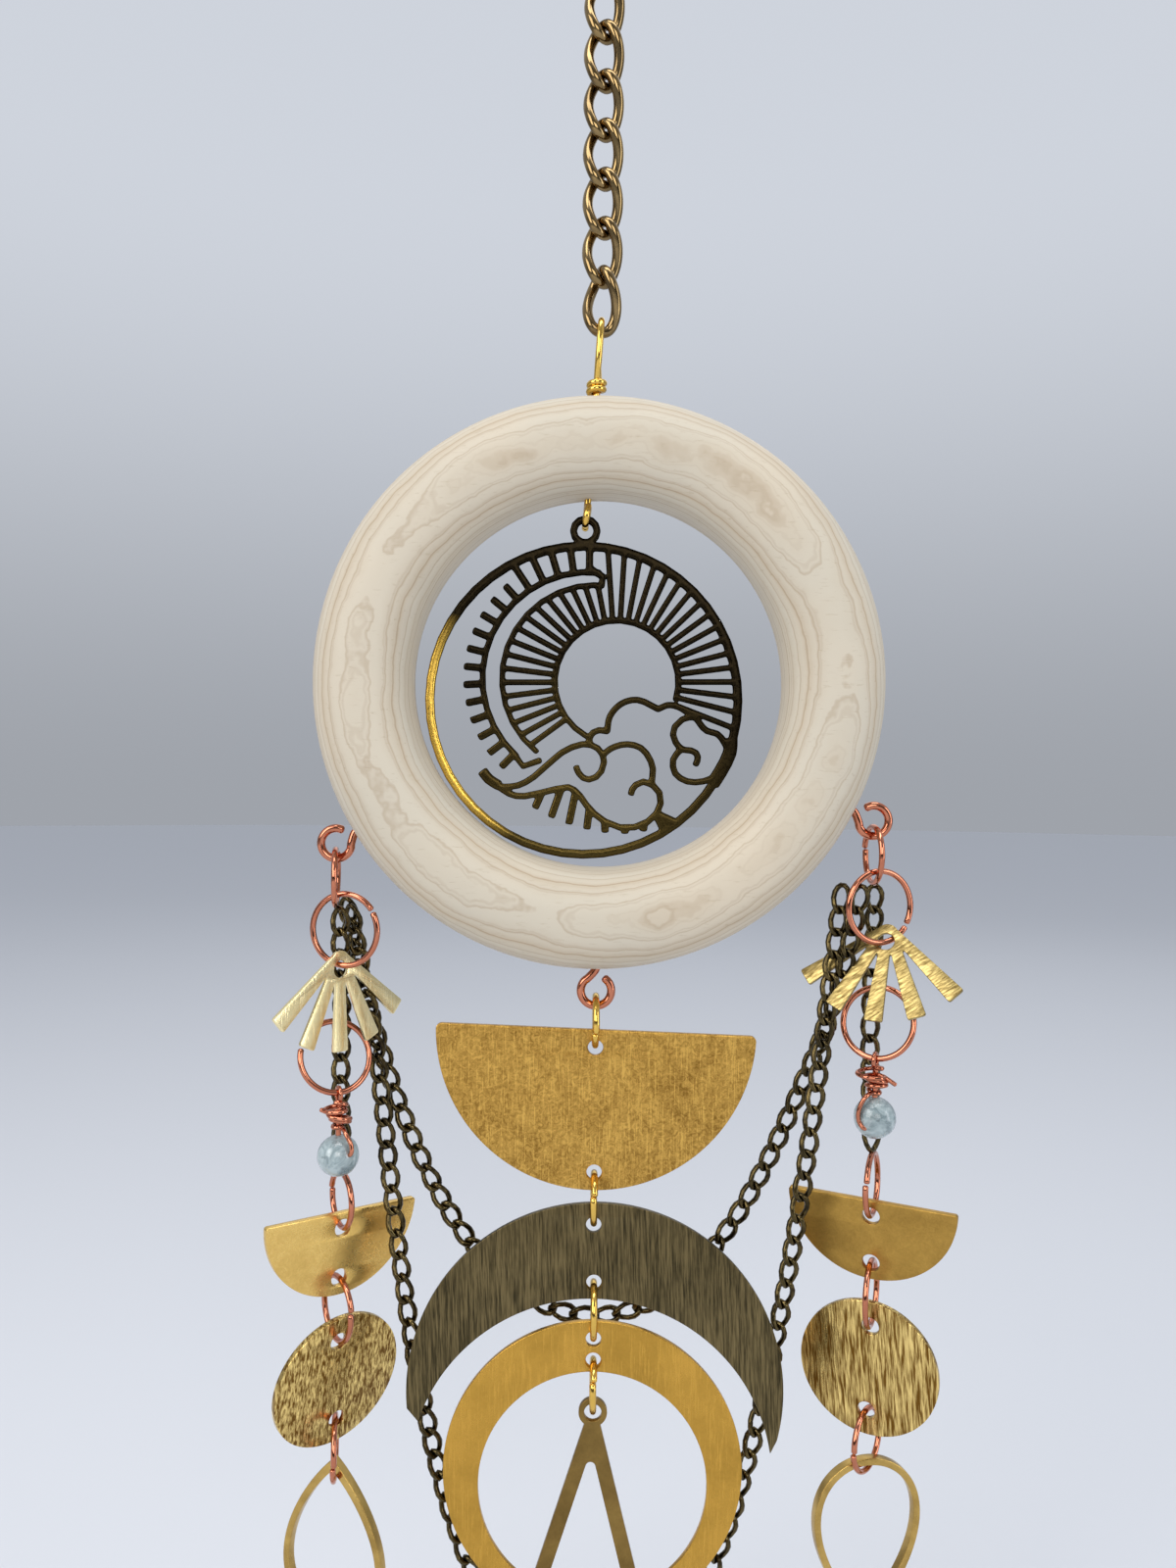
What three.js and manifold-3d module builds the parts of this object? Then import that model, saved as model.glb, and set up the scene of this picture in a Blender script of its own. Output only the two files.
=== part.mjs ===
// Celestial hanging mobile: a turned wood ring on a curb chain, a cut brass sun-and-moon disc inside it,
// a middle string of flat brass shapes, two side strings and two swag chains between the sides.
// Millimetres, Z up, the front faces -Y. The origin is the inside top of the hanging ring.
import * as THREE from 'three';
import { mergeVertices } from 'three/addons/utils/BufferGeometryUtils.js';
import Module from 'manifold-3d';

const wasm = await Module();
wasm.setup();

const DEG = Math.PI / 180;

// ---------------------------------------------------------------- driving sizes
const GAP = 0.25; // play between a wire and what it carries
const PLATE_T = 0.8; // sheet brass
const FAN_T = 0.5;
const BRASS_R = 0.425; // radius of the brass jump-ring wire
const COPPER_R = 0.375; // radius of the copper jump-ring wire
const HOLE_B = 0.95; // holes for brass rings
const HOLE_C = 1.1; // holes for copper rings
const SEAT = 0.05; // a copper ring sits this far off the middle of a hole

const HANG = { wire: 0.7, radius: 4.6, yaw: 80 };
const LINK = { wire: 0.54, inner: 6.44, pitch: 6.03, width: 4.9, count: 8 };

const RING_Z = -99.9; // centre of the wood ring
const RING_OUT = 35;
const RING_IN = 22.6;
const RING_DEPTH = 12;
const RING_MID = (RING_OUT + RING_IN) / 2;

const EYE = { at: 37.8, radius: 1.87, wire: 0.52, shank: 0.46, tip: 29.4 };
const EYE_ANGLES = { left: 211.9, right: -26.1, bottom: 270 };

const WIRE = { r: 0.42, lean: 3.8, top: 45.0, low: 20.45 }; // wire through the wood ring
const PENDANT = { x: -1.8, z: -2.1, radius: 19.4, band: 0.9 };

const MOON_R = 19.7; // large half-moon
const CRESCENT = { out: 23.16, in: 22.35, shift: 10.93, holes: [2.7, 9.75], aside: 1.2 };
const HORN_CUT = { out: [10, 6], in: [6.3, 1.8] }; // degrees that blunt the left and right horns
const OFFSET_RING = { out: 18.35, in: 14.05, shift: 1.9, holes: [2.2, 4.8] };
const TRIANGLE = { half: 16.1, apex: 1.87, height: 37, bar: 1.75, loop: 1.74, hole: 1.06, y: -1.3 };
const FAN = { spread: 25, apex: 2.0, length: 12, hub: 1.39, hubAt: 0.86, hole: 1.1, slots: 3.6 };

const UPPER_R = 3.44; // small copper ring under each side screw eye
const BIG_R = 4.36; // large copper rings
const BEAD_R = 2.53;
const SMALL_MOON = { radius: 10.5, top: 2.0, holes: 6.3 };
const DISC = { radius: 8.75, middle: 5.6, holes: 11.2 };
const RING_B_R = 3.95; // copper rings above and below a side disc
const RING_C_R = 3.8;
const DROP = { width: 14.3, height: 21, strip: 0.85, depth: 1.3 };
const CHAIN_R = 0.5; // solid of a fine chain: the same metal per length as its links

// ---------------------------------------------------------------- helpers
const group = new THREE.Group();
group.name = 'celestial_mobile';

const FINISH = {
  wood: { color: 0xd9c39a, roughness: 0.6, metalness: 0 },
  brass: { color: 0xc9a24b, roughness: 0.35, metalness: 1 },
  antique: { color: 0x5a4a26, roughness: 0.4, metalness: 1 },
  copper: { color: 0xc27a5a, roughness: 0.3, metalness: 1 },
  bead: { color: 0xb9cfd0, roughness: 0.35, metalness: 0 },
};

function add(name, geometry, finish) {
  const mesh = new THREE.Mesh(geometry, new THREE.MeshStandardMaterial(FINISH[finish]));
  mesh.name = name;
  group.add(mesh);
  return mesh;
}

function solid(geometry) {
  const bare = new THREE.BufferGeometry();
  bare.setAttribute('position', geometry.getAttribute('position'));
  if (geometry.index) bare.setIndex(geometry.index);
  const merged = mergeVertices(bare, 1e-4);
  return new wasm.Manifold(new wasm.Mesh({
    numProp: 3,
    vertProperties: new Float32Array(merged.attributes.position.array),
    triVerts: new Uint32Array(merged.index.array),
  }));
}

function toGeometry(body) {
  const mesh = body.getMesh();
  const geometry = new THREE.BufferGeometry();
  const points = [];
  for (let i = 0; i < mesh.numVert; i += 1) {
    points.push(...mesh.vertProperties.slice(i * mesh.numProp, i * mesh.numProp + 3));
  }
  geometry.setAttribute('position', new THREE.Float32BufferAttribute(points, 3));
  geometry.setIndex(Array.from(mesh.triVerts));
  const flat = geometry.toNonIndexed();
  flat.computeVertexNormals();
  return flat;
}

function union(geometries) {
  return geometries.map(solid).reduce((a, b) => a.add(b));
}

function place(geometry, at, { yaw = 0, pitch = 0, roll = 0 } = {}) {
  const turn = new THREE.Matrix4().makeRotationZ(yaw * DEG)
    .multiply(new THREE.Matrix4().makeRotationX(pitch * DEG))
    .multiply(new THREE.Matrix4().makeRotationY(roll * DEG));
  turn.setPosition(at[0], at[1], at[2]);
  return geometry.applyMatrix4(turn);
}

function turned(vector, { yaw = 0, pitch = 0, roll = 0 } = {}) {
  const v = new THREE.Vector3(...vector);
  v.applyAxisAngle(new THREE.Vector3(0, 1, 0), roll * DEG);
  v.applyAxisAngle(new THREE.Vector3(1, 0, 0), pitch * DEG);
  v.applyAxisAngle(new THREE.Vector3(0, 0, 1), yaw * DEG);
  return v.toArray();
}

const plus = (a, b) => a.map((value, i) => value + b[i]);

// A flat shape drawn in X and Z, centred on Y. The outline runs counter-clockwise.
function sheet(outline, holes, thickness) {
  const edge = outline.map((p) => new THREE.Vector2(p[0], p[1]));
  if (THREE.ShapeUtils.area(edge) < 0) edge.reverse();
  const shape = new THREE.Shape(edge);
  for (const hole of holes) {
    shape.holes.push(new THREE.Path(hole.map((p) => new THREE.Vector2(p[0], p[1]))));
  }
  const geometry = new THREE.ExtrudeGeometry(shape, { depth: thickness, bevelEnabled: false });
  geometry.translate(0, 0, -thickness / 2);
  geometry.rotateX(Math.PI / 2);
  return geometry;
}

function arc(cx, cz, radius, from, to, steps) {
  const points = [];
  for (let i = 0; i <= steps; i += 1) {
    const a = (from + (to - from) * i / steps) * DEG;
    points.push([cx + radius * Math.cos(a), cz + radius * Math.sin(a)]);
  }
  return points;
}

const circle = (cx, cz, radius, steps) => arc(cx, cz, radius, 0, 360 - 360 / steps, steps - 1);

// A round wire ring standing in X and Z.
function wireRing(radius, wire, sides = 5, steps = 16) {
  const geometry = new THREE.TorusGeometry(radius, wire, sides, steps);
  return geometry.rotateX(Math.PI / 2);
}

function rod(radius, z0, z1, sides = 8, top = radius) {
  const geometry = new THREE.CylinderGeometry(top, radius, z1 - z0, sides);
  geometry.rotateX(Math.PI / 2);
  return geometry.translate(0, 0, (z0 + z1) / 2);
}

// ---------------------------------------------------------------- hanging ring and suspension chain
const hangingRing = wireRing(HANG.radius, HANG.wire, 6, 18).rotateZ(HANG.yaw * DEG);
add('hanging_ring', hangingRing.translate(0, 0, HANG.wire - HANG.radius), 'antique');

// A curb link is an oval of wire given a quarter twist between its two ends.
class CurbLink extends THREE.Curve {
  getPoint(t) {
    const a = 2 * Math.PI * t;
    const x = (LINK.width / 2 - LINK.wire) * Math.cos(a);
    const z = (LINK.inner / 2 + LINK.wire) * Math.sin(a);
    const twist = -45 * DEG * Math.sin(a);
    return new THREE.Vector3(x * Math.cos(twist), x * Math.sin(twist), z);
  }
}

const topLink = 2 * (HANG.wire - HANG.radius) + GAP - LINK.inner / 2;
for (let i = 0; i < LINK.count; i += 1) {
  const link = new THREE.TubeGeometry(new CurbLink(), 16, LINK.wire, 5, true);
  if (i === LINK.count - 1) link.rotateZ(-24 * DEG);
  link.translate(0, 0, topLink - i * LINK.pitch);
  add(`suspension_link_${i + 1}`, link, 'antique');
}

// ---------------------------------------------------------------- wood ring
const profile = [];
for (let i = 0; i < 12; i += 1) {
  const a = 2 * Math.PI * (i + 0.5) / 12;
  const power = 2 / 2.3;
  const u = Math.sign(Math.cos(a)) * Math.abs(Math.cos(a)) ** power;
  const v = Math.sign(Math.sin(a)) * Math.abs(Math.sin(a)) ** power;
  profile.push(new THREE.Vector2(RING_MID + (RING_OUT - RING_IN) / 2 * u, RING_DEPTH / 2 * v));
}
profile.push(profile[0].clone());
let wood = solid(new THREE.LatheGeometry(profile, 40));
for (const angle of Object.values(EYE_ANGLES)) {
  const pilot = rod(EYE.shank + 0.3, EYE.tip - 0.6, RING_OUT + 2);
  wood = wood.subtract(solid(pilot.rotateY((90 - angle) * DEG)));
}
const wireTop = RING_Z + WIRE.top;
const wireHole = rod(WIRE.r + 0.3, -WIRE.top + RING_IN - 3, -WIRE.top + RING_OUT + 3);
wood = wood.subtract(solid(wireHole.rotateY(WIRE.lean * DEG).translate(0, 0, WIRE.top)));
add('wood_ring', toGeometry(wood).translate(0, 0, RING_Z), 'wood');

// ---------------------------------------------------------------- screw eyes
function screwEye(name, angle, finish) {
  const loop = wireRing(EYE.radius, EYE.wire, 6, 16).translate(0, 0, EYE.at);
  const shank = rod(EYE.shank * 0.5, EYE.tip, EYE.at - EYE.radius, 8, EYE.shank);
  const eye = toGeometry(union([loop, shank]));
  add(name, eye.rotateY((90 - angle) * DEG).translate(0, 0, RING_Z), finish);
  return [EYE.at * Math.cos(angle * DEG), 0, RING_Z + EYE.at * Math.sin(angle * DEG)];
}
const leftEye = screwEye('left_screw_eye', EYE_ANGLES.left, 'copper');
const rightEye = screwEye('right_screw_eye', EYE_ANGLES.right, 'copper');
const bottomEye = screwEye('bottom_screw_eye', EYE_ANGLES.bottom, 'copper');

// ---------------------------------------------------------------- wire that carries the ring and the disc
class TopEye extends THREE.Curve {
  getPoint(t) {
    const a = 2 * Math.PI * t;
    return new THREE.Vector3(0, 1.55 * Math.cos(a), -3.4 + 3.4 * Math.sin(a) - WIRE.r);
  }
}
const lowerEye = -(WIRE.top - WIRE.low);
const hanger = toGeometry(union([
  new THREE.TubeGeometry(new TopEye(), 18, WIRE.r, 5, true),
  rod(WIRE.r, lowerEye + 1.25, -7.0, 6),
  wireRing(0.82, WIRE.r, 5, 10).rotateX(90 * DEG).translate(0, 0, -9.1),
  wireRing(0.78, WIRE.r, 5, 10).rotateX(84 * DEG).translate(0, 0, -8.3),
  wireRing(1.25, WIRE.r, 5, 12).rotateZ(90 * DEG).translate(0, 0, lowerEye),
]));
hanger.rotateY(WIRE.lean * DEG).translate(0, 0, wireTop);
add('hanger_wire', hanger, 'brass');

// ---------------------------------------------------------------- sun, moon and cloud disc
// Every line of the pattern is a strip of even width; the disc is all of them joined.
function strip(points, width, smooth = 0) {
  let path = points;
  if (smooth) {
    const curve = new THREE.CatmullRomCurve3(points.map((p) => new THREE.Vector3(p[0], p[1], 0)));
    path = curve.getPoints(smooth).map((p) => [p.x, p.y]);
  }
  const left = [];
  const right = [];
  const last = path.length - 1;
  path.forEach((p, i) => {
    const a = path[Math.max(i - 1, 0)];
    const b = path[Math.min(i + 1, last)];
    const length = Math.hypot(b[0] - a[0], b[1] - a[1]);
    const n = [(a[1] - b[1]) / length * width / 2, (b[0] - a[0]) / length * width / 2];
    left.push([p[0] + n[0], p[1] + n[1]]);
    right.push([p[0] - n[0], p[1] - n[1]]);
  });
  return sheet([...right, ...left.reverse()], [], PLATE_T);
}

const SUN = { x: 4.0, z: 2.25, r: 7.6, w: 0.55, rays: 50, bar: 0.52 };
const MOON = { x: 0.55, z: 2.71, r: 13.05, w: 0.55, teeth: 15.3 };
const MOON_IN = { x: 1.44, z: 2.64, r: 11.55, w: 0.5 };

// Distance from the sun's centre, along angle a, to a circle of radius r about (x, z).
function reach(a, x, z, r) {
  const dx = SUN.x - x;
  const dz = SUN.z - z;
  const b = dx * Math.cos(a) + dz * Math.sin(a);
  return -b + Math.sqrt(b * b - dx * dx - dz * dz + r * r);
}

const CLOUDS = [
  // tail, lower edge and the second curl
  { w: 0.62, n: 24, p: [[-12.2, -9.05], [-10.4, -10.7], [-8.9, -11.65], [-7.5, -11.89], [-4.4, -11.26],
    [-1.8, -10.71], [-0.7, -11.4], [0.6, -13.1], [2.4, -14.73], [5.3, -15.7], [8, -14.87], [9.45, -13.1],
    [9.3, -11.1], [7.6, -9.95], [6.2, -10.6], [5.87, -11.6]] },
  { w: 1.1, n: 4, p: [[-12.4, -8.8], [-11.6, -9.8], [-10.3, -10.6]] },
  // second lobe
  { w: 0.6, n: 12, p: [[8.44, -10.02], [8.5, -8], [7.2, -5.9], [5.3, -5.37], [3.5, -5.85], [2.5, -6.6]] },
  // upper edge of the tail and the first curl
  { w: 0.6, n: 20, p: [[-9.9, -10.75], [-8.2, -10.61], [-6.5, -9.8], [-4.2, -7.8], [-2.35, -6.27], [0, -5.4],
    [1.7, -5.85], [2.55, -7.3], [1.9, -9.2], [0.4, -9.75], [-0.6, -8.9], [-0.9, -8.1]] },
  // big lobe under the sun, in three bumps
  { w: 0.6, n: 4, p: [[0.75, -5.6], [0.8, -4.4], [1.6, -3.7], [2.95, -3.8]] },
  { w: 0.6, n: 12, p: [[2.9, -3.95], [3.2, -2], [4.6, -0.4], [6.6, 0.1], [9.27, -1.08]] },
  { w: 0.6, n: 7, p: [[9.1, -1.05], [10.4, -0.5], [11.8, -0.8], [13.3, -1.8]] },
  // right-hand cloud: upper lobe and its curl, lower lobe, and the edge along the rim
  { w: 0.6, n: 12, p: [[13.9, -2], [12.4, -2.1], [11, -3.6], [11.4, -5.2], [12.2, -5.95], [13.7, -6.2],
    [14.1, -7], [13.75, -7.9]] },
  { w: 0.6, n: 10, p: [[12, -5.9], [11.05, -7.2], [11.3, -8.9], [12.8, -9.88], [14.8, -9.85], [16.6, -9.1]] },
  { w: 0.6, n: 8, p: [[13.7, -1.9], [15, -3.55], [16.6, -4.1], [17.8, -5.9]] },
  { w: 1.5, n: 6, p: [[18.1, -4.6], [18.0, -6.3], [16.9, -8.6], [15.9, -10.2]] },
];
const SHORT_TEETH = [
  [-5.2, -11.7, -5.9, -13.3], [-2.7, -10.9, -3.9, -14.4], [-0.9, -11.2, -1.7, -15.2], [0.8, -13.2, 0.5, -15.8],
  [2.69, -14.8, 2.75, -16.2], [5.18, -15.5, 5.18, -16.3], [7.54, -14.9, 7.47, -16],
];

const parts = [
  sheet(circle(0, 0, PENDANT.radius, 48), [circle(0, 0, PENDANT.radius - PENDANT.band, 48)], PLATE_T),
  sheet(circle(0, 20.8, 1.8, 12), [circle(0, 20.8, 1.12, 10)], PLATE_T),
  strip(arc(SUN.x, SUN.z, SUN.r, -17, 241, 20), SUN.w),
  strip(arc(MOON.x, MOON.z, MOON.r, 84, 228, 14), MOON.w),
  strip(arc(MOON_IN.x, MOON_IN.z, MOON_IN.r, 90, 232, 12), MOON_IN.w),
  // closed ends of the moon's thin window
  strip([[0.9, 16.0], [2.2, 15.2], [2.0, 13.9]], 0.7),
  strip([[-8.6, -6.6], [-7.4, -8.2], [-5.2, -7.4]], 0.6),
  sheet([[8.9, -13.4], [11.4, -14.5], [9.7, -16.2], [8.9, -14.6]], [], PLATE_T),
];
for (let k = 0; k < SUN.rays; k += 1) {
  const deg = -21 + 360 / SUN.rays * k;
  const a = deg * DEG;
  if (deg > 223) continue;
  const rim = reach(a, 0, 0, PENDANT.radius - PENDANT.band / 2);
  const far = deg < 97 ? rim : reach(a, MOON_IN.x, MOON_IN.z, MOON_IN.r);
  parts.push(strip([0, 1].map((t) => {
    const r = t ? far : SUN.r;
    return [SUN.x + r * Math.cos(a), SUN.z + r * Math.sin(a)];
  }), SUN.bar));
}
for (let k = 0; k < 17; k += 1) {
  const a = (90 + 8.5 * k) * DEG;
  const tip = k < 5 ? 16.6 + 0.1 * k : MOON.teeth;
  parts.push(strip([[MOON.x + MOON.r * Math.cos(a), MOON.z + MOON.r * Math.sin(a)],
    [MOON.x + tip * Math.cos(a), MOON.z + tip * Math.sin(a)]], 0.72));
}
for (const cloud of CLOUDS) parts.push(strip(cloud.p, cloud.w, cloud.n));
for (const [x0, z0, x1, z1] of SHORT_TEETH) parts.push(strip([[x0, z0], [x1, z1]], 0.75));
add('sun_moon_disc', toGeometry(union(parts)).translate(PENDANT.x, 0, RING_Z + PENDANT.z), 'brass');

// ---------------------------------------------------------------- middle string
// Each ring stands across the sheets it joins. A ring hangs at the bottom of the hole above it,
// and the next sheet hangs by the top of its own hole on the ring's lowest point.
const ringUnder = (hole, holeR, radius, wire) => hole - holeR + GAP + wire - radius;
const holeUnder = (centre, holeR, radius, wire) => centre - radius + wire + GAP - holeR;

function middleRing(name, z, radius) {
  add(name, wireRing(radius, BRASS_R, 6, 16).rotateZ(90 * DEG).translate(0, 0, z), 'brass');
}

const ring1 = bottomEye[2] - (EYE.radius - EYE.wire) + GAP + BRASS_R - 3.0;
middleRing('brass_jump_ring_1', ring1, 3.0);

const fillet = 0.7;
const corner = Math.sqrt((MOON_R - fillet) ** 2 - fillet ** 2);
const cornerAngle = Math.atan2(fillet, corner) / DEG;
const moonShape = (radius, top, steps) => {
  const k = radius / MOON_R;
  return [
    ...arc(-corner * k, top - fillet * k, fillet * k, 90, 180 + cornerAngle, 4),
    ...arc(0, top, radius, 180 + cornerAngle, 360 - cornerAngle, steps).slice(1, -1),
    ...arc(corner * k, top - fillet * k, fillet * k, -cornerAngle, 90, 4),
  ];
};
const moonHole = holeUnder(ring1, HOLE_B, 3.0, BRASS_R);
const moonDrop = -(MOON_R - 4.4);
const moonHoles = [circle(0, 0, HOLE_B, 12), circle(0.5, moonDrop, HOLE_B, 12)];
const moon = sheet(moonShape(MOON_R, 2.2, 36), moonHoles, PLATE_T);
add('large_half_moon', place(moon, [0, 0, moonHole], { roll: 2.0 }), 'brass');

const moonLow = plus([0, 0, moonHole], turned([0.5, 0, moonDrop], { roll: 2.0 }));
const ring2 = ringUnder(moonLow[2], HOLE_B, 2.95, BRASS_R);
add('brass_jump_ring_2', place(wireRing(2.95, BRASS_R, 6, 16), [moonLow[0], 0, ring2], { yaw: 90 }), 'brass');

const crescentTop = holeUnder(ring2, HOLE_B, 2.95, BRASS_R);
const horn = (CRESCENT.out ** 2 - CRESCENT.in ** 2 + CRESCENT.shift ** 2) / (2 * CRESCENT.shift);
const outHorn = Math.acos(-horn / CRESCENT.out) / DEG - 90;
const inHorn = Math.asin((horn - CRESCENT.shift) / CRESCENT.in) / DEG;
const outMiddle = CRESCENT.holes[0] - CRESCENT.out;
const crescentShape = [
  ...arc(CRESCENT.aside, outMiddle, CRESCENT.out, 180 + outHorn - HORN_CUT.out[0],
    HORN_CUT.out[1] - outHorn, 40),
  ...arc(CRESCENT.aside, outMiddle - CRESCENT.shift, CRESCENT.in, HORN_CUT.in[1] - inHorn,
    180 + inHorn - HORN_CUT.in[0], 36),
];
const crescentHoles = CRESCENT.holes.map((h, i) => circle(0.4 * i, CRESCENT.holes[0] - h, HOLE_B, 12));
const crescent = sheet(crescentShape, crescentHoles, PLATE_T);
const crescentTurn = { roll: 2.5 };
add('crescent', place(crescent, [moonLow[0], 0, crescentTop], crescentTurn), 'brass');

const crescentDrop = [0.4, 0, CRESCENT.holes[0] - CRESCENT.holes[1]];
const crescentLow = plus([moonLow[0], 0, crescentTop], turned(crescentDrop, crescentTurn));
const ring3 = ringUnder(crescentLow[2], HOLE_B, 3.2, BRASS_R);
add('brass_jump_ring_3', place(wireRing(3.2, BRASS_R, 6, 16), [crescentLow[0], 0, ring3], { yaw: 90 }), 'brass');

const offsetTop = holeUnder(ring3, HOLE_B, 3.2, BRASS_R);
const offsetCentre = OFFSET_RING.holes[0] - OFFSET_RING.out;
const offsetRing = sheet(circle(0, offsetCentre, OFFSET_RING.out, 48), [
  circle(0, offsetCentre - OFFSET_RING.shift, OFFSET_RING.in, 44),
  ...OFFSET_RING.holes.map((h) => circle(0, OFFSET_RING.holes[0] - h, HOLE_B, 12)),
], PLATE_T);
add('offset_ring', place(offsetRing, [crescentLow[0], 0, offsetTop]), 'brass');

const offsetLow = offsetTop + OFFSET_RING.holes[0] - OFFSET_RING.holes[1];
const ring4 = ringUnder(offsetLow, HOLE_B, 2.9, BRASS_R);
add('brass_jump_ring_4', place(wireRing(2.9, BRASS_R, 6, 16), [crescentLow[0], 0, ring4], { yaw: 90 }), 'brass');

// The triangle hangs a little forward on its ring and passes in front of the offset ring.
const triangleHole = ring4 - Math.sqrt(2.9 ** 2 - TRIANGLE.y ** 2) - SEAT;
const slope = Math.tan(TRIANGLE.half * DEG);
const base = (TRIANGLE.height + TRIANGLE.apex) * slope;
const round = 1.3;
const inset = round * Math.tan((45 + TRIANGLE.half / 2) * DEG);
const frameOut = [[0, TRIANGLE.apex],
  ...arc(-base + inset, -TRIANGLE.height + round, round, 180 - TRIANGLE.half, 270, 4),
  ...arc(base - inset, -TRIANGLE.height + round, round, 270, 360 + TRIANGLE.half, 4)];
const notch = 0.6; // radius of the rounded upper corner of the opening
const inTop = TRIANGLE.apex - TRIANGLE.bar / Math.sin(TRIANGLE.half * DEG);
const inLow = -TRIANGLE.height + TRIANGLE.bar;
const notchAt = inTop - notch / Math.sin(TRIANGLE.half * DEG);
const frameIn = [[(inLow - inTop) * slope, inLow],
  ...arc(0, notchAt, notch, 180 - TRIANGLE.half, TRIANGLE.half, 4),
  [-(inLow - inTop) * slope, inLow]];
const triangle = union([
  sheet(frameOut, [frameIn], PLATE_T),
  sheet(circle(0, 0, TRIANGLE.loop, 16), [], PLATE_T),
]).subtract(solid(sheet(circle(0, 0, TRIANGLE.hole, 12), [], PLATE_T + 1)));
const triangleAt = [crescentLow[0], TRIANGLE.y, triangleHole];
add('open_triangle', place(toGeometry(triangle), triangleAt, { roll: 2.0 }), 'brass');

// ---------------------------------------------------------------- side strings
// Half-width grows as sin(a) sin(a/2)^0.8 from the point to the round end.
function dropOutline(half, top, low, steps) {
  const points = [];
  for (let i = 0; i < steps; i += 1) {
    const a = 2 * Math.PI * i / steps;
    const x = Math.sin(a) * Math.abs(Math.sin(a / 2)) ** 0.8 / 0.803;
    points.push([half * x, top - (top - low) * (1 - Math.cos(a)) / 2]);
  }
  return points;
}

// A slice of a disc: five fingers spread about a point above the hole, with a rounded hub around the hole.
function fanShape() {
  const finger = (deg) => {
    const c = Math.cos(deg * DEG);
    const s = Math.sin(deg * DEG);
    const at = (r, w) => [r * s + w * c, FAN.apex - r * c + w * s];
    return [at(0.8, -0.49), at(FAN.length - 0.25, -1.1), at(FAN.length, -0.9), at(FAN.length, 0.9),
      at(FAN.length - 0.25, 1.1), at(0.8, 0.49)];
  };
  const reach = 2 * FAN.spread;
  return union([
    ...[-2, -1, 0, 1, 2].map((k) => sheet(finger(FAN.spread * k), [], FAN_T)),
    sheet([[0, FAN.apex], ...arc(0, FAN.apex, FAN.slots, -90 - reach, -90 + reach, 8)], [], FAN_T),
    sheet(circle(0, FAN.hubAt, FAN.hub, 16), [], FAN_T),
  ]).subtract(solid(sheet(circle(0, 0, FAN.hole, 12), [], FAN_T + 1)));
}

function copperRing(name, at, radius, yaw, pitch = 0) {
  add(name, place(wireRing(radius, COPPER_R), at, { yaw, pitch }), 'copper');
}

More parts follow.
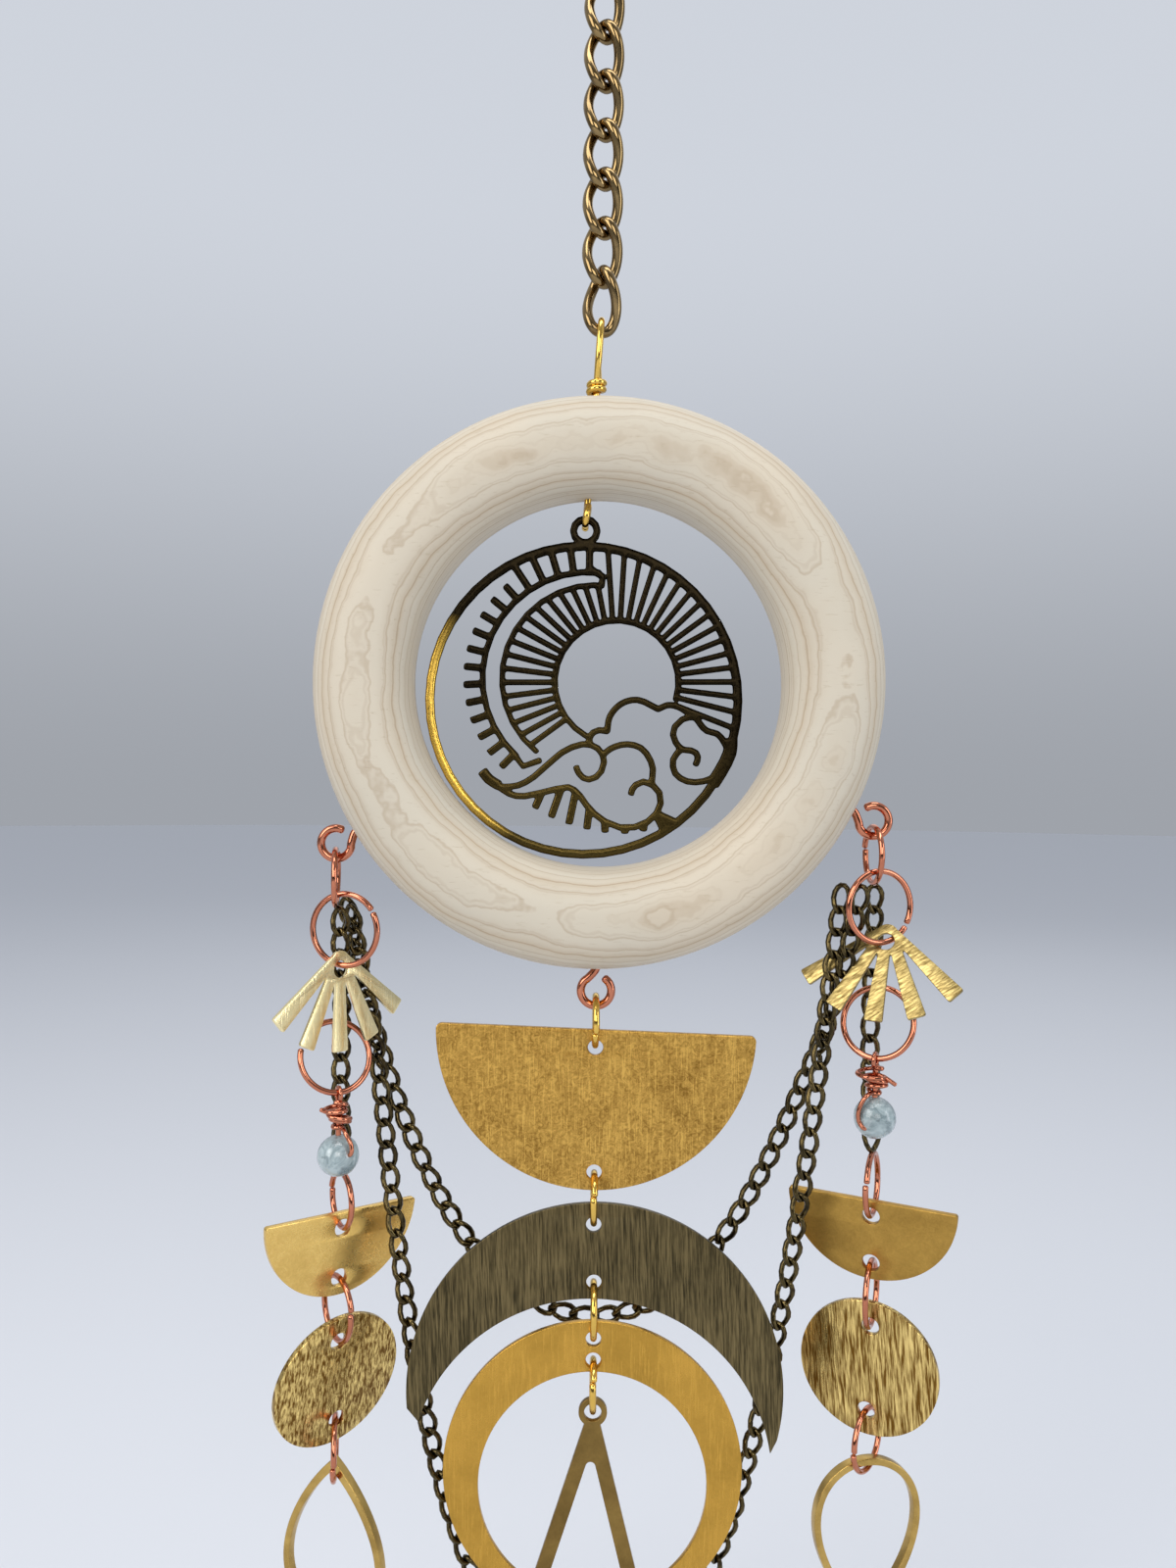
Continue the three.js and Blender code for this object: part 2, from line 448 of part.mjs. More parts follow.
function sideString(side, eye, p) {
  const name = (part) => `${side}_${part}`;
  // small ring through the screw eye
  const upper = [eye[0], 0, eye[2] - (EYE.radius - EYE.wire) + COPPER_R + GAP - UPPER_R];
  copperRing(name('upper_jump_ring'), upper, UPPER_R, p.upperYaw);
  // large ring hung on it, towards the front
  const bigY = -1.6;
  const rise = Math.sqrt(UPPER_R ** 2 - bigY ** 2);
  const big = [upper[0] + p.bigX, bigY, upper[2] - rise + 2 * COPPER_R + 0.4 - BIG_R];
  copperRing(name('large_ring'), big, BIG_R, p.bigYaw);
  // fan on the large ring
  const along = p.fanX / Math.cos(p.bigYaw * DEG);
  const fanHole = [big[0] + p.fanX, bigY + along * Math.sin(p.bigYaw * DEG),
    big[2] - Math.sqrt(BIG_R ** 2 - along ** 2) - p.fanSag];
  add(name('fan'), place(toGeometry(fanShape()), fanHole, p.fanTurn), 'brass');
  // lower ring, hung from the drop chain, its foot leaning forward
  copperRing(name('lower_ring'), p.lower, BIG_R, p.lowerYaw, p.lowerPitch);
  const foot = plus(p.lower, turned([0, 0, -BIG_R], { yaw: p.lowerYaw, pitch: p.lowerPitch }));
  // wrapped bead: a loop on the ring's foot, a wound neck, and a leg each side into the bead's bore
  const r = 0.24;
  const drop = p.beadDrop;
  const legs = new THREE.CatmullRomCurve3([
    [0, 0, -3.2], [1.3, 0, -3.9], [2.55, 0, -drop + 2.0], [3.1, 0, -drop + 0.7], [2.3, 0, -drop], [0, 0, -drop],
    [-2.3, 0, -drop], [-3.1, 0, -drop + 0.7], [-2.55, 0, -drop + 2.0], [-1.3, 0, -3.9],
  ].map((q) => new THREE.Vector3(...q)), true);
  const wire = toGeometry(union([
    wireRing(0.95, r, 5, 10).rotateZ((p.lowerYaw + 90 - p.beadYaw) * DEG).translate(0, 0, -0.1),
    rod(0.52, -3.45, -0.95, 6),
    wireRing(0.75, r + 0.1, 5, 8).rotateX(80 * DEG).translate(0, 0, -2.2),
    wireRing(0.66, r, 5, 8).rotateX(98 * DEG).translate(0, 0, -3.0),
    new THREE.TubeGeometry(legs, 24, r, 5, true),
  ]));
  add(name('bead_wire'), place(wire, foot, { yaw: p.beadYaw }), 'copper');
  const bore = new THREE.CylinderGeometry(r + 0.3, r + 0.3, 3 * BEAD_R, 8).rotateZ(Math.PI / 2);
  const ball = new THREE.SphereGeometry(BEAD_R, 14, 9);
  const bead = toGeometry(solid(ball).subtract(solid(bore)));
  add(name('bead'), place(bead, plus(foot, [0, 0, -drop]), { yaw: p.beadYaw }), 'bead');
  // ring under the bead, small half-moon, ring, disc, ring, teardrop
  const ringA = [p.x, p.y, p.ringA - p.radiusA];
  copperRing(name('jump_ring_a'), ringA, p.radiusA, p.yawA);
  const topHole = [p.x, p.y, ringA[2] - p.radiusA - SEAT];
  const half = sheet(moonShape(SMALL_MOON.radius, SMALL_MOON.top, 24),
    [circle(0, 0, HOLE_C, 12), circle(0, -SMALL_MOON.holes, HOLE_C, 12)], PLATE_T);
  add(name('half_moon'), place(half, topHole, p.moonTurn), 'brass');
  const lowHole = plus(topHole, turned([0, 0, -SMALL_MOON.holes], p.moonTurn));
  const ringB = [lowHole[0], lowHole[1], lowHole[2] - SEAT - RING_B_R];
  copperRing(name('jump_ring_b'), ringB, RING_B_R, p.yawB);
  const discHole = [ringB[0], ringB[1], ringB[2] - RING_B_R - SEAT];
  const disc = sheet(circle(0, -DISC.middle, DISC.radius, 32),
    [circle(0, 0, HOLE_C, 12), circle(0, -DISC.holes, HOLE_C, 12)], PLATE_T);
  add(name('disc'), place(disc, discHole, p.discTurn), 'brass');
  const discLow = plus(discHole, turned([0, 0, -DISC.holes], p.discTurn));
  const ringC = [discLow[0], discLow[1], discLow[2] - SEAT - RING_C_R];
  copperRing(name('jump_ring_c'), ringC, RING_C_R, p.yawC);
  const wall = DROP.strip;
  const hang = p.dropUp ? 2.55 : wall + COPPER_R + GAP + 0.12;
  const outer = dropOutline(DROP.width / 2, hang, hang - DROP.height, 28);
  const inner = dropOutline(DROP.width / 2 - wall, hang - 1.5, hang - DROP.height + wall, 24);
  let frame = sheet(outer, [inner], DROP.depth);
  if (!p.dropUp) {
    const flip = (points) => points.map(([x, z]) => [-x, 2 * hang - DROP.height - z]);
    frame = sheet(flip(outer), [flip(inner)], DROP.depth);
  }
  add(name('teardrop'), place(frame, plus(ringC, [0, 0, -RING_C_R]), { yaw: p.dropYaw }), 'brass');
  // drop chain from the upper ring to the ring under the bead
  const end = [ringA[0], ringA[1], ringA[2] + p.radiusA + COPPER_R + CHAIN_R * 0.6];
  const route = [...p.chain.map(([x, y, z]) => [x, y, RING_Z + z]), end];
  const chain = new THREE.CatmullRomCurve3(route.map((q) => new THREE.Vector3(...q)));
  add(name('drop_chain'), chainSolid(chain, 12), 'antique');
  return upper;
}

function chainSolid(curve, steps) {
  const shape = new THREE.Shape(circle(0, 0, CHAIN_R, 6).map((q) => new THREE.Vector2(...q)));
  return new THREE.ExtrudeGeometry(shape, { steps, extrudePath: curve, bevelEnabled: false });
}

const left = sideString('left', leftEye, {
  upperYaw: 98,
  bigX: 1.45,
  bigYaw: -17,
  fanX: -0.6,
  fanSag: 0.5,
  fanTurn: { yaw: 51, pitch: -1.7, roll: 0.8 },
  lower: [-32.1, 0.5, RING_Z - 46.3],
  lowerYaw: 30,
  lowerPitch: -20,
  beadDrop: 7.7,
  beadYaw: -55,
  x: -31.6,
  y: 2.8,
  ringA: RING_Z - 61.3,
  radiusA: 3.4,
  yawA: 122,
  moonTurn: { yaw: 41, pitch: 4, roll: 2 },
  yawB: 126,
  discTurn: { yaw: 43, pitch: 11.5, roll: -6 },
  yawC: 99,
  dropUp: true,
  dropYaw: -20,
  chain: [[-31.6, 0.5, -28.3], [-31.8, 1.9, -36], [-31.9, 3.45, -42], [-31.9, 3.1, -50]],
});

const right = sideString('right', rightEye, {
  upperYaw: 94,
  bigX: 0.5,
  bigYaw: 20,
  fanX: 0.9,
  fanSag: 0.05,
  fanTurn: { yaw: -28, pitch: -26, roll: 2.2 },
  lower: [34.8, 0.3, RING_Z - 41.5],
  lowerYaw: -28,
  lowerPitch: -16,
  beadDrop: 7.2,
  beadYaw: 25,
  x: 34.7,
  y: 2.5,
  ringA: RING_Z - 58.3,
  radiusA: 3.8,
  yawA: 66,
  moonTurn: { yaw: -25.7, pitch: 9.3, roll: 1.6 },
  yawB: 67,
  discTurn: { yaw: -27.7, pitch: 5, roll: 3.4 },
  yawC: 53,
  dropUp: false,
  dropYaw: 12,
  chain: [[34.4, 0.9, -25.0], [34.6, 2.1, -32], [34.6, 3.0, -37.5], [34.4, 2.7, -46]],
});

// ---------------------------------------------------------------- swag chains
// Each hangs in a catenary z = low + a (cosh(x / a) - 1) and joins the small rings by a short lead.
function swag(name, { a, low, span, y, hold, from, to, steps }) {
  const points = [from];
  for (let i = 0; i <= 20; i += 1) {
    const x = -span + 2 * span * i / 20;
    const dip = (1 - (x / span) ** hold) ** 2;
    const end = x < 0 ? y[0] : y[2];
    points.push([x, end + (y[1] - end) * dip, RING_Z + low + a * (Math.cosh(x / a) - 1)]);
  }
  points.push(to);
  const curve = new THREE.CatmullRomCurve3(points.map((q) => new THREE.Vector3(...q)), false, 'centripetal');
  add(name, chainSolid(curve, steps), 'antique');
}
swag('inner_swag_chain', {
  a: 14.6, low: -79.9, span: 29.7, y: [5.1, 4.9, -0.15], hold: 12, steps: 34,
  from: [left[0] + 0.6, 3.4, left[2] - 3.2], to: [right[0] - 1.9, -2.55, right[2] - 4.0],
});
swag('outer_swag_chain', {
  a: 9.4, low: -124.6, span: 27.2, y: [3.9, 1.7, -0.6], hold: 12, steps: 46,
  from: [left[0] + 1.4, 2.3, left[2] - 4.0], to: [right[0] - 3.9, -0.9, right[2] - 4.0],
});

export default group;
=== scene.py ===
# %% [markdown]
# # A celestial hanging mobile
# The real thing hangs from a chain: a turned wood ring, a cut sun-and-moon disc inside it, a middle string of
# flat brass shapes, two side strings of copper rings, fans, beads and discs, and two chains slung between.
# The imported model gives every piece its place. This script gives them their finish, and makes anew what the
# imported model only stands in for: wire rings with their splits, wound wire, and chains of real links.

import math

import bmesh
import bpy
import numpy as np
from mathutils import Matrix, Vector


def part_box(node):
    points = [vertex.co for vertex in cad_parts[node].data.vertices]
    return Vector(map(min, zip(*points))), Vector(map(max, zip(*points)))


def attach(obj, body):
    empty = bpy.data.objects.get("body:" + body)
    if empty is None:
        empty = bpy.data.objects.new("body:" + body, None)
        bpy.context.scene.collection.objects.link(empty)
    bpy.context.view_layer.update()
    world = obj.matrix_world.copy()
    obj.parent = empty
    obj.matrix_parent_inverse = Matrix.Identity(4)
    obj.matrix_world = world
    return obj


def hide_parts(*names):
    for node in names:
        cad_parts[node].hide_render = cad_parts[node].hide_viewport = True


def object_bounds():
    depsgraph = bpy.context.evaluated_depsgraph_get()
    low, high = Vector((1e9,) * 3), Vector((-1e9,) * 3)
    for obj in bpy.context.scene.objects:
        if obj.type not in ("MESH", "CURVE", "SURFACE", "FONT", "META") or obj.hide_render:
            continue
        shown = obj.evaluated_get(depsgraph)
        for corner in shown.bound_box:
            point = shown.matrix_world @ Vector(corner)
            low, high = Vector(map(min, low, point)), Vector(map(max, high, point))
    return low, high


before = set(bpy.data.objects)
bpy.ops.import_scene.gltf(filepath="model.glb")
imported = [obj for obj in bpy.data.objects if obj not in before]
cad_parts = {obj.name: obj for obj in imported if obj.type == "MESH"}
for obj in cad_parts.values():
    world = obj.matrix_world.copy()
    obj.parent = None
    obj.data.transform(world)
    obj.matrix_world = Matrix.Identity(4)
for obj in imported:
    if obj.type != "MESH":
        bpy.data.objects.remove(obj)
PACKED_BOX = [list(corner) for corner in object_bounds()]
MM = 0.001
print("packed box, mm:", [[round(v / MM, 1) for v in corner] for corner in PACKED_BOX])


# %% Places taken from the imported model
def centre(node):
    """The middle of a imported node's box, in millimetres."""
    low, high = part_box(node)
    return np.array((low + high) / 2) / MM


RING = centre("wood_ring")
print("middle of the wood ring, mm:", RING.round(2))

# %% [markdown]
# ## Camera
# The mobile is seen from close by and straight on, so near rings look larger than far ones. A wide lens at
# 150 mm gives that. The camera leans half a degree.

# %% Camera
CAMERA_AT = Vector((-1.2, -150.0, RING[2] - 12.4)) * MM
CAMERA_LEAN = math.radians(-0.5)

camera_data = bpy.data.cameras.new("camera")
camera_data.lens = 28
camera_data.sensor_width = 36
camera_data.clip_start = 0.01
camera = bpy.data.objects.new("camera", camera_data)
camera.location = CAMERA_AT
camera.rotation_euler = (math.radians(90), CAMERA_LEAN, 0)
bpy.context.collection.objects.link(camera)
bpy.context.scene.camera = camera
print("camera at, mm:", [round(v / MM, 1) for v in CAMERA_AT])

# %% [markdown]
# ## Nodes from code
# Materials and the sky are networks of nodes. Written out one by one they soon take hundreds of lines, so a
# few small helpers come first: one fills in a node's sockets by name, and the others are the sums, noises
# and colour mixes that every finish here is made of.


# %% Node helpers
def feed(tree, socket, value):
    """Links the socket if the value is a socket too, and otherwise fills it in."""
    if isinstance(value, bpy.types.NodeSocket):
        tree.links.new(value, socket)
    else:
        socket.default_value = value


def add_node(tree, kind, **values):
    """A node with its inputs or settings filled in by name."""
    node = tree.nodes.new(kind)
    for name, value in values.items():
        socket = node.inputs.get(name.replace("_", " "))
        if socket is None:
            setattr(node, name, value)
        else:
            feed(tree, socket, value)
    return node


def maths(tree, operation, one, other, kind="ShaderNodeMath", output="Value"):
    """One value worked out from two, which may be sockets or numbers."""
    node = add_node(tree, kind, operation=operation)
    feed(tree, node.inputs[0], one)
    feed(tree, node.inputs[1], other)
    return node.outputs[output]


def times(tree, one, other):
    return maths(tree, "MULTIPLY", one, other)


def plus(tree, one, other):
    return maths(tree, "ADD", one, other)


def stretch(tree, value, low, high, to_low=0.0, to_high=1.0, curve="LINEAR"):
    """Maps low..high to to_low..to_high, and stops there."""
    node = add_node(tree, "ShaderNodeMapRange", interpolation_type=curve, Value=value,
                    From_Min=low, From_Max=high, To_Min=to_low, To_Max=to_high)
    return node.outputs["Result"]


def noise(tree, at, scale, detail, roughness=0.5, distortion=0.0):
    """Noise between 0 and 1. scale is how many features there are per metre."""
    node = add_node(tree, "ShaderNodeTexNoise", Vector=at, Scale=scale, Detail=detail, Roughness=roughness,
                    Distortion=distortion)
    return node.outputs["Fac"]


def colour_mix(tree, factor, first, second):
    """The first colour where the factor is 0, and the second where it is 1."""
    node = add_node(tree, "ShaderNodeMix", data_type="RGBA", clamp_factor=True, Factor=factor)
    for socket, colour in ((node.inputs[6], first), (node.inputs[7], second)):
        feed(tree, socket, colour if isinstance(colour, bpy.types.NodeSocket) else (*colour, 1))
    return node.outputs[2]


def new_material(name):
    """A material, its node tree and its shader."""
    material = bpy.data.materials.new(name)
    material.use_nodes = True
    return material, material.node_tree, material.node_tree.nodes["Principled BSDF"]


def object_spot(tree):
    return add_node(tree, "ShaderNodeTexCoord").outputs["Object"]


def fill_shader(tree, shader, colour, roughness, height=None, unit_height=1e-6):
    """Links colour, roughness and a bump. A height of 1 is unit_height metres, a micrometre if not given."""
    feed(tree, shader.inputs["Base Color"], colour)
    feed(tree, shader.inputs["Roughness"], roughness)
    if height is not None:
        bump = add_node(tree, "ShaderNodeBump", Height=height, Strength=1.0, Distance=unit_height)
        feed(tree, shader.inputs["Normal"], bump.outputs["Normal"])


print("node helpers ready")

# %% [markdown]
# ## Floor and light
# Metal shows mostly what it reflects. A big soft window to the upper left, a weaker one to the right and a
# strip from above give the brass long soft highlights, and the pale world keeps the shadows open. The world
# darkens downwards and towards the viewer, so that flat sheet has something to reflect, and it dims near the
# horizon, so that it meets the floor.


# %% Floor and light
def add_window(name, at, size, watts, colour):
    """A rectangular area light that faces the middle of the mobile."""
    data = bpy.data.lights.new(name, "AREA")
    data.shape = "RECTANGLE"
    data.size, data.size_y = size
    data.energy = watts
    data.color = colour
    light = bpy.data.objects.new(name, data)
    light.location = at
    aim = Vector((0, 0, RING[2] * MM - 0.02)) - Vector(at)
    light.rotation_euler = aim.to_track_quat("-Z", "Y").to_euler()
    bpy.context.collection.objects.link(light)


FLOOR_DROP = 0.03
floor_at = (0, 0, PACKED_BOX[0][2] - FLOOR_DROP)
bpy.ops.mesh.primitive_circle_add(vertices=96, radius=4, fill_type="NGON", location=floor_at)
floor = bpy.context.object
floor.name = "floor"
pale_floor, floor_tree, floor_shader = new_material("pale_floor")
fill_shader(floor_tree, floor_shader, (0.65, 0.665, 0.70, 1), 0.9)
floor.data.materials.append(pale_floor)

add_window("window_left", (-0.52, -0.50, 0.22), (0.42, 0.60), 3.4, (1.0, 0.98, 0.95))
add_window("window_front", (0.10, -0.95, 0.20), (0.50, 0.42), 2.7, (1.0, 0.99, 0.97))
add_window("window_right", (0.65, -0.30, 0.00), (0.22, 0.60), 1.5, (0.94, 0.97, 1.0))
add_window("strip_above", (0.05, -0.12, 0.50), (0.6, 0.20), 1.8, (1.0, 1.0, 1.0))
add_window("window_back", (0.15, 0.80, 0.45), (0.8, 0.6), 0.7, (1.0, 1.0, 1.0))

world = bpy.data.worlds.new("studio")
bpy.context.scene.world = world
world.use_nodes = True
sky = world.node_tree
toward = add_node(sky, "ShaderNodeTexCoord").outputs["Generated"]
sides = add_node(sky, "ShaderNodeSeparateXYZ", Vector=toward).outputs
lit = plus(sky, times(sky, sides["Z"], 0.55), sides["Y"])
sky_colour = colour_mix(sky, stretch(sky, lit, -1.0, 0.45, curve="SMOOTHSTEP"),
                        (0.10, 0.096, 0.092), (0.62, 0.655, 0.72))
sky_strength = stretch(sky, sides["Z"], -0.02, 0.45, 0.56, 1.0, curve="SMOOTHSTEP")
feed(sky, sky.nodes["Background"].inputs["Color"], sky_colour)
feed(sky, sky.nodes["Background"].inputs["Strength"], sky_strength)
bpy.context.scene.view_settings.view_transform = "Standard"

# %% [markdown]
# ## Mesh helpers
# A wire is a round section carried along a path. At every station of the path the section needs two
# directions across it. Carrying the last pair forward, and taking out what points along the path, keeps the
# section from spinning.


# %% Mesh helpers
def grid_faces(rows, columns, closed):
    """Quads of a grid that is always closed around its columns, and around its rows if closed."""
    row = np.arange(rows if closed else rows - 1)[:, None]
    column = np.arange(columns)[None, :]
    below, beside = (row + 1) % rows, (column + 1) % columns
    corners = [(row, column), (row, beside), (below, beside), (below, column)]
    quads = np.stack([r * columns + c for r, c in corners], -1).reshape(-1, 4)
    return [tuple(face) for face in quads.tolist()]


def unit(vectors):
    """Each vector divided by its own length."""
    return vectors / np.linalg.norm(vectors, axis=-1, keepdims=True)


def spun(one, other, angle):
    """Two directions square to each other, both turned by the angle in their plane."""
    return np.cos(angle) * one + np.sin(angle) * other, np.cos(angle) * other - np.sin(angle) * one


def carried_frames(path, closed):
    """Two directions across a path: each pair is the one before it, made square to the path again."""
    if closed:
        along = unit(np.roll(path, -1, 0) - np.roll(path, 1, 0))
    else:
        along = unit(np.gradient(path, axis=0))
    across = np.empty_like(along)
    start = np.array((0.0, 0.0, 1.0)) if abs(along[0, 2]) < 0.8 else np.array((1.0, 0.0, 0.0))
    for i, direction in enumerate(along):
        start = start - direction * (start @ direction)
        start = start / np.linalg.norm(start)
        across[i] = start
    other = np.cross(along, across)
    if closed:
        back = across[-1] - along[0] * (across[-1] @ along[0])
        miss = math.atan2(back @ other[0], back @ across[0])
        across, other = spun(across, other, -miss * np.linspace(0, 1, len(path))[:, None])
    return across, other


# A cut end is rounded over: one section more, this far out and this wide, in radii of the wire.
CAP_REACH, CAP_WIDTH = 0.4, 0.62


def wire(path, radius, sides=10, closed=False):
    """A round section carried along the path: point + radius (cos v across + sin v other)."""
    path = np.asarray(path, float)
    radii = np.full(len(path), radius)
    if not closed:
        reach = unit(path[[1, -1]] - path[[0, -2]]) * radius * CAP_REACH
        path = np.vstack([path[0] - reach[0], path, path[-1] + reach[1]])
        radii = np.concatenate([[radius * CAP_WIDTH], radii, [radius * CAP_WIDTH]])
    across, other = carried_frames(path, closed)
    v = np.linspace(0, 2 * np.pi, sides, endpoint=False)[None, :, None]
    section = np.cos(v) * across[:, None] + np.sin(v) * other[:, None]
    points = path[:, None] + radii[:, None, None] * section
    faces = grid_faces(len(path), sides, closed)
    if not closed:
        last = (len(path) - 1) * sides
        faces += [tuple(range(sides))[::-1], tuple(range(last, last + sides))]
    return points.reshape(-1, 3), faces


def joined(meshes):
    """Several (points, faces) as one."""
    points, faces, first = [], [], 0
    for some_points, some_faces in meshes:
        points.append(some_points)
        faces += [tuple(i + first for i in face) for face in some_faces]
        first += len(some_points)
    return np.vstack(points), faces


def smooth_curve(points, samples):
    """A Catmull-Rom curve: between two points runs a cubic, which leaves and arrives along its neighbours."""
    p = np.asarray(points, float)
    p = np.vstack([2 * p[0] - p[1], p, 2 * p[-1] - p[-2]])
    t = np.linspace(0, len(points) - 1, samples)
    i = np.minimum(t.astype(int), len(points) - 2)
    u = (t - i)[:, None]
    a, b, c, d = p[i], p[i + 1], p[i + 2], p[i + 3]
    return 0.5 * (2 * b + (c - a) * u + (2 * a - 5 * b + 4 * c - d) * u**2 + (3 * b - a - 3 * c + d) * u**3)


def turn_matrix(yaw=0.0, pitch=0.0, roll=0.0):
    """Degrees: roll about Y, then pitch about X, then yaw about Z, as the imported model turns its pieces."""
    turns = [Matrix.Rotation(math.radians(a), 3, axis) for a, axis in ((yaw, "Z"), (pitch, "X"), (roll, "Y"))]
    return np.array(turns[0] @ turns[1] @ turns[2])


def to_centre(points, node):
    """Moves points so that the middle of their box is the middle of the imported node's box."""
    return points + centre(node) - (points.min(0) + points.max(0)) / 2


print("mesh helpers ready")

# %% [markdown]
# ## Shared effects
# Three effects turn up in many of these finishes, so each is a shader group that is built once: brush
# strokes, the blotches of old metal, and fine crossing scratches. A group hands out only masks, and each
# material decides what a mask does to its colour, its gloss and its height.


# %% Brush strokes
def new_group(name, numbers, masks):
    """An empty group that takes a Vector and some numbers and gives masks, with its inner sockets."""
    group = bpy.data.node_groups.new(name, "ShaderNodeTree")
    group.interface.new_socket(name="Vector", in_out="INPUT", socket_type="NodeSocketVector")
    for label, number in numbers.items():
        socket = group.interface.new_socket(name=label, in_out="INPUT", socket_type="NodeSocketFloat")
        socket.default_value = number
    for label in masks:
        group.interface.new_socket(name=label, in_out="OUTPUT", socket_type="NodeSocketFloat")
    return group, group.nodes.new("NodeGroupInput").outputs, group.nodes.new("NodeGroupOutput").inputs


def make_strokes():
    """Noise that is squeezed across the strokes and drawn out along them. Frequencies are per metre."""
    frequencies = {"Across": 3000.0, "Along": 150.0}
    group, given, result = new_group("brush_strokes", frequencies, ["Strokes", "Coarse"])
    for name, detail, factor in (("Strokes", 2.0, 1.0), ("Coarse", 1.0, 0.45)):
        across, along = times(group, given["Across"], factor), times(group, given["Along"], factor)
        scale = add_node(group, "ShaderNodeCombineXYZ", X=across, Y=across, Z=along).outputs[0]
        spot = maths(group, "MULTIPLY", given["Vector"], scale, "ShaderNodeVectorMath", "Vector")
        feed(group, result[name], stretch(group, noise(group, spot, 1.0, detail, 0.6), 0.38, 0.62))
    return group


STROKES = make_strokes()
print("shader group:", STROKES.name)


# %% Blotches
def make_blotches():
    """Noise in three sizes: broad stains, a fine mottle as of tumbled sheet, and specks."""
    masks = ["Blotches", "Mottle", "Speckle"]
    group, given, result = new_group("old_metal_blotches", {"Per metre": 250.0}, masks)
    spot = given["Vector"]
    broad = noise(group, spot, given["Per metre"], 5.0, 0.62, 0.4)
    middling = noise(group, spot, 1500.0, 4.0, 0.75, 1.4)
    fine = noise(group, spot, 2600.0, 3.0, 0.7)
    feed(group, result["Blotches"], stretch(group, broad, 0.36, 0.66))
    feed(group, result["Mottle"], stretch(group, middling, 0.36, 0.64))
    feed(group, result["Speckle"], stretch(group, fine, 0.42, 0.62))
    return group


BLOTCHES = make_blotches()
print("shader group:", BLOTCHES.name)


# %% Scratches
def make_scratches():
    """Hair lines in three directions: long drawn-out noise, of which only the narrow peaks are kept."""
    group, given, result = new_group("fine_scratches", {}, ["Scratches"])
    total = 0.0
    for degrees, low in ((22, 0.60), (-48, 0.62), (76, 0.61)):
        turned = add_node(group, "ShaderNodeMapping", Vector=given["Vector"],
                          Rotation=(0.0, math.radians(degrees), 0.0), Scale=(5200.0, 900.0, 230.0)).outputs[0]
        line = stretch(group, noise(group, turned, 1.0, 2.0, 0.55), low, low + 0.08)
        total = maths(group, "MAXIMUM", total, line)
    feed(group, result["Scratches"], total)
    return group


SCRATCHES = make_scratches()
print("shader group:", SCRATCHES.name)

# %% [markdown]
# ## One recipe for the metals
# Raw brass, antique brass, bronze and copper differ in two colours (clean and stained), in gloss, and in how
# they were rubbed. The fans and the small half moons also get lighter and darker copies of one brass, which
# are painted light and painted shade. One function holds the recipe, and each finish below is a short list of
# values for it.

# %% The metal recipe
MOTTLE_HEIGHT = 9.0  # micrometres, at full mottle
SCRATCH_CLEANS = -0.45  # a scratch lays clean metal bare
FINE_SHARE, COARSE_SHARE = 0.65, 0.35  # of the brush strokes


def use_group(tree, group, **values):
    """Places a shader group in a material with values of its own, and gives its masks."""
    return add_node(tree, "ShaderNodeGroup", node_tree=group, **values).outputs


def metal(name, clean, stained, gloss, stain, blotch=250.0, brush=None, scratch=0.0, mottle=0.0, grit=0.6):
    """A metal. gloss is the roughness where clean and where stained. stain is how much the broad stains show.
    brush is (across, along, tilt, depth, tint). scratch is a depth in micrometres. mottle is a share of
    colour. grit is the height of the specks in micrometres."""
    material, tree, shader = new_material(name)
    shader.inputs["Metallic"].default_value = 1.0
    spot = object_spot(tree)
    marks = use_group(tree, BLOTCHES, Vector=spot, Per_metre=blotch)
    dirt = times(tree, marks["Blotches"], stain)
    height = times(tree, marks["Speckle"], grit)
    effects = []
    if mottle:
        effects.append((marks["Mottle"], mottle, MOTTLE_HEIGHT * mottle))
    if brush:
        across, along, tilt, depth, tint = brush
        turned = add_node(tree, "ShaderNodeMapping", Vector=spot, Rotation=(0.0, math.radians(tilt), 0.0))
        strokes = use_group(tree, STROKES, Vector=turned.outputs[0], Across=across, Along=along)
        fine = times(tree, strokes["Strokes"], FINE_SHARE)
        coarse = times(tree, strokes["Coarse"], COARSE_SHARE)
        effects.append((plus(tree, fine, coarse), tint, depth))
    if scratch:
        lines = use_group(tree, SCRATCHES, Vector=spot)["Scratches"]
        effects.append((lines, SCRATCH_CLEANS, -scratch))
    for mask, colour_share, depth in effects:
        dirt = plus(tree, dirt, times(tree, mask, colour_share))
        height = plus(tree, height, times(tree, mask, depth))
    colour = colour_mix(tree, dirt, clean, stained)
    fill_shader(tree, shader, colour, stretch(tree, dirt, 0.0, 1.0, *gloss), height)
    return material


# %% The metal finishes
# Each finish is the name of its kind of metal, and its material.
FINISHES = {
    "antique_chain": ("antique_brass", metal(
        "antique_brass", (0.30, 0.205, 0.09), (0.09, 0.06, 0.03), (0.1, 0.2), 0.6, 300.0, grit=0.15)),
    "fine_chain": ("fine_chain", metal(
        "dark_chain_brass", (0.12, 0.088, 0.035), (0.02, 0.016, 0.01), (0.16, 0.28), 0.9, 520.0, grit=0.3)),
    "bright_wire": ("bright_brass", metal(
        "bright_brass_wire", (0.78, 0.50, 0.11), (0.46, 0.27, 0.05), (0.1, 0.2), 0.3, 200.0, grit=0.1)),
    "copper": ("copper", metal(
        "rose_copper", (0.58, 0.215, 0.125), (0.30, 0.085, 0.045), (0.08, 0.18), 0.35, 200.0, grit=0.1)),
}
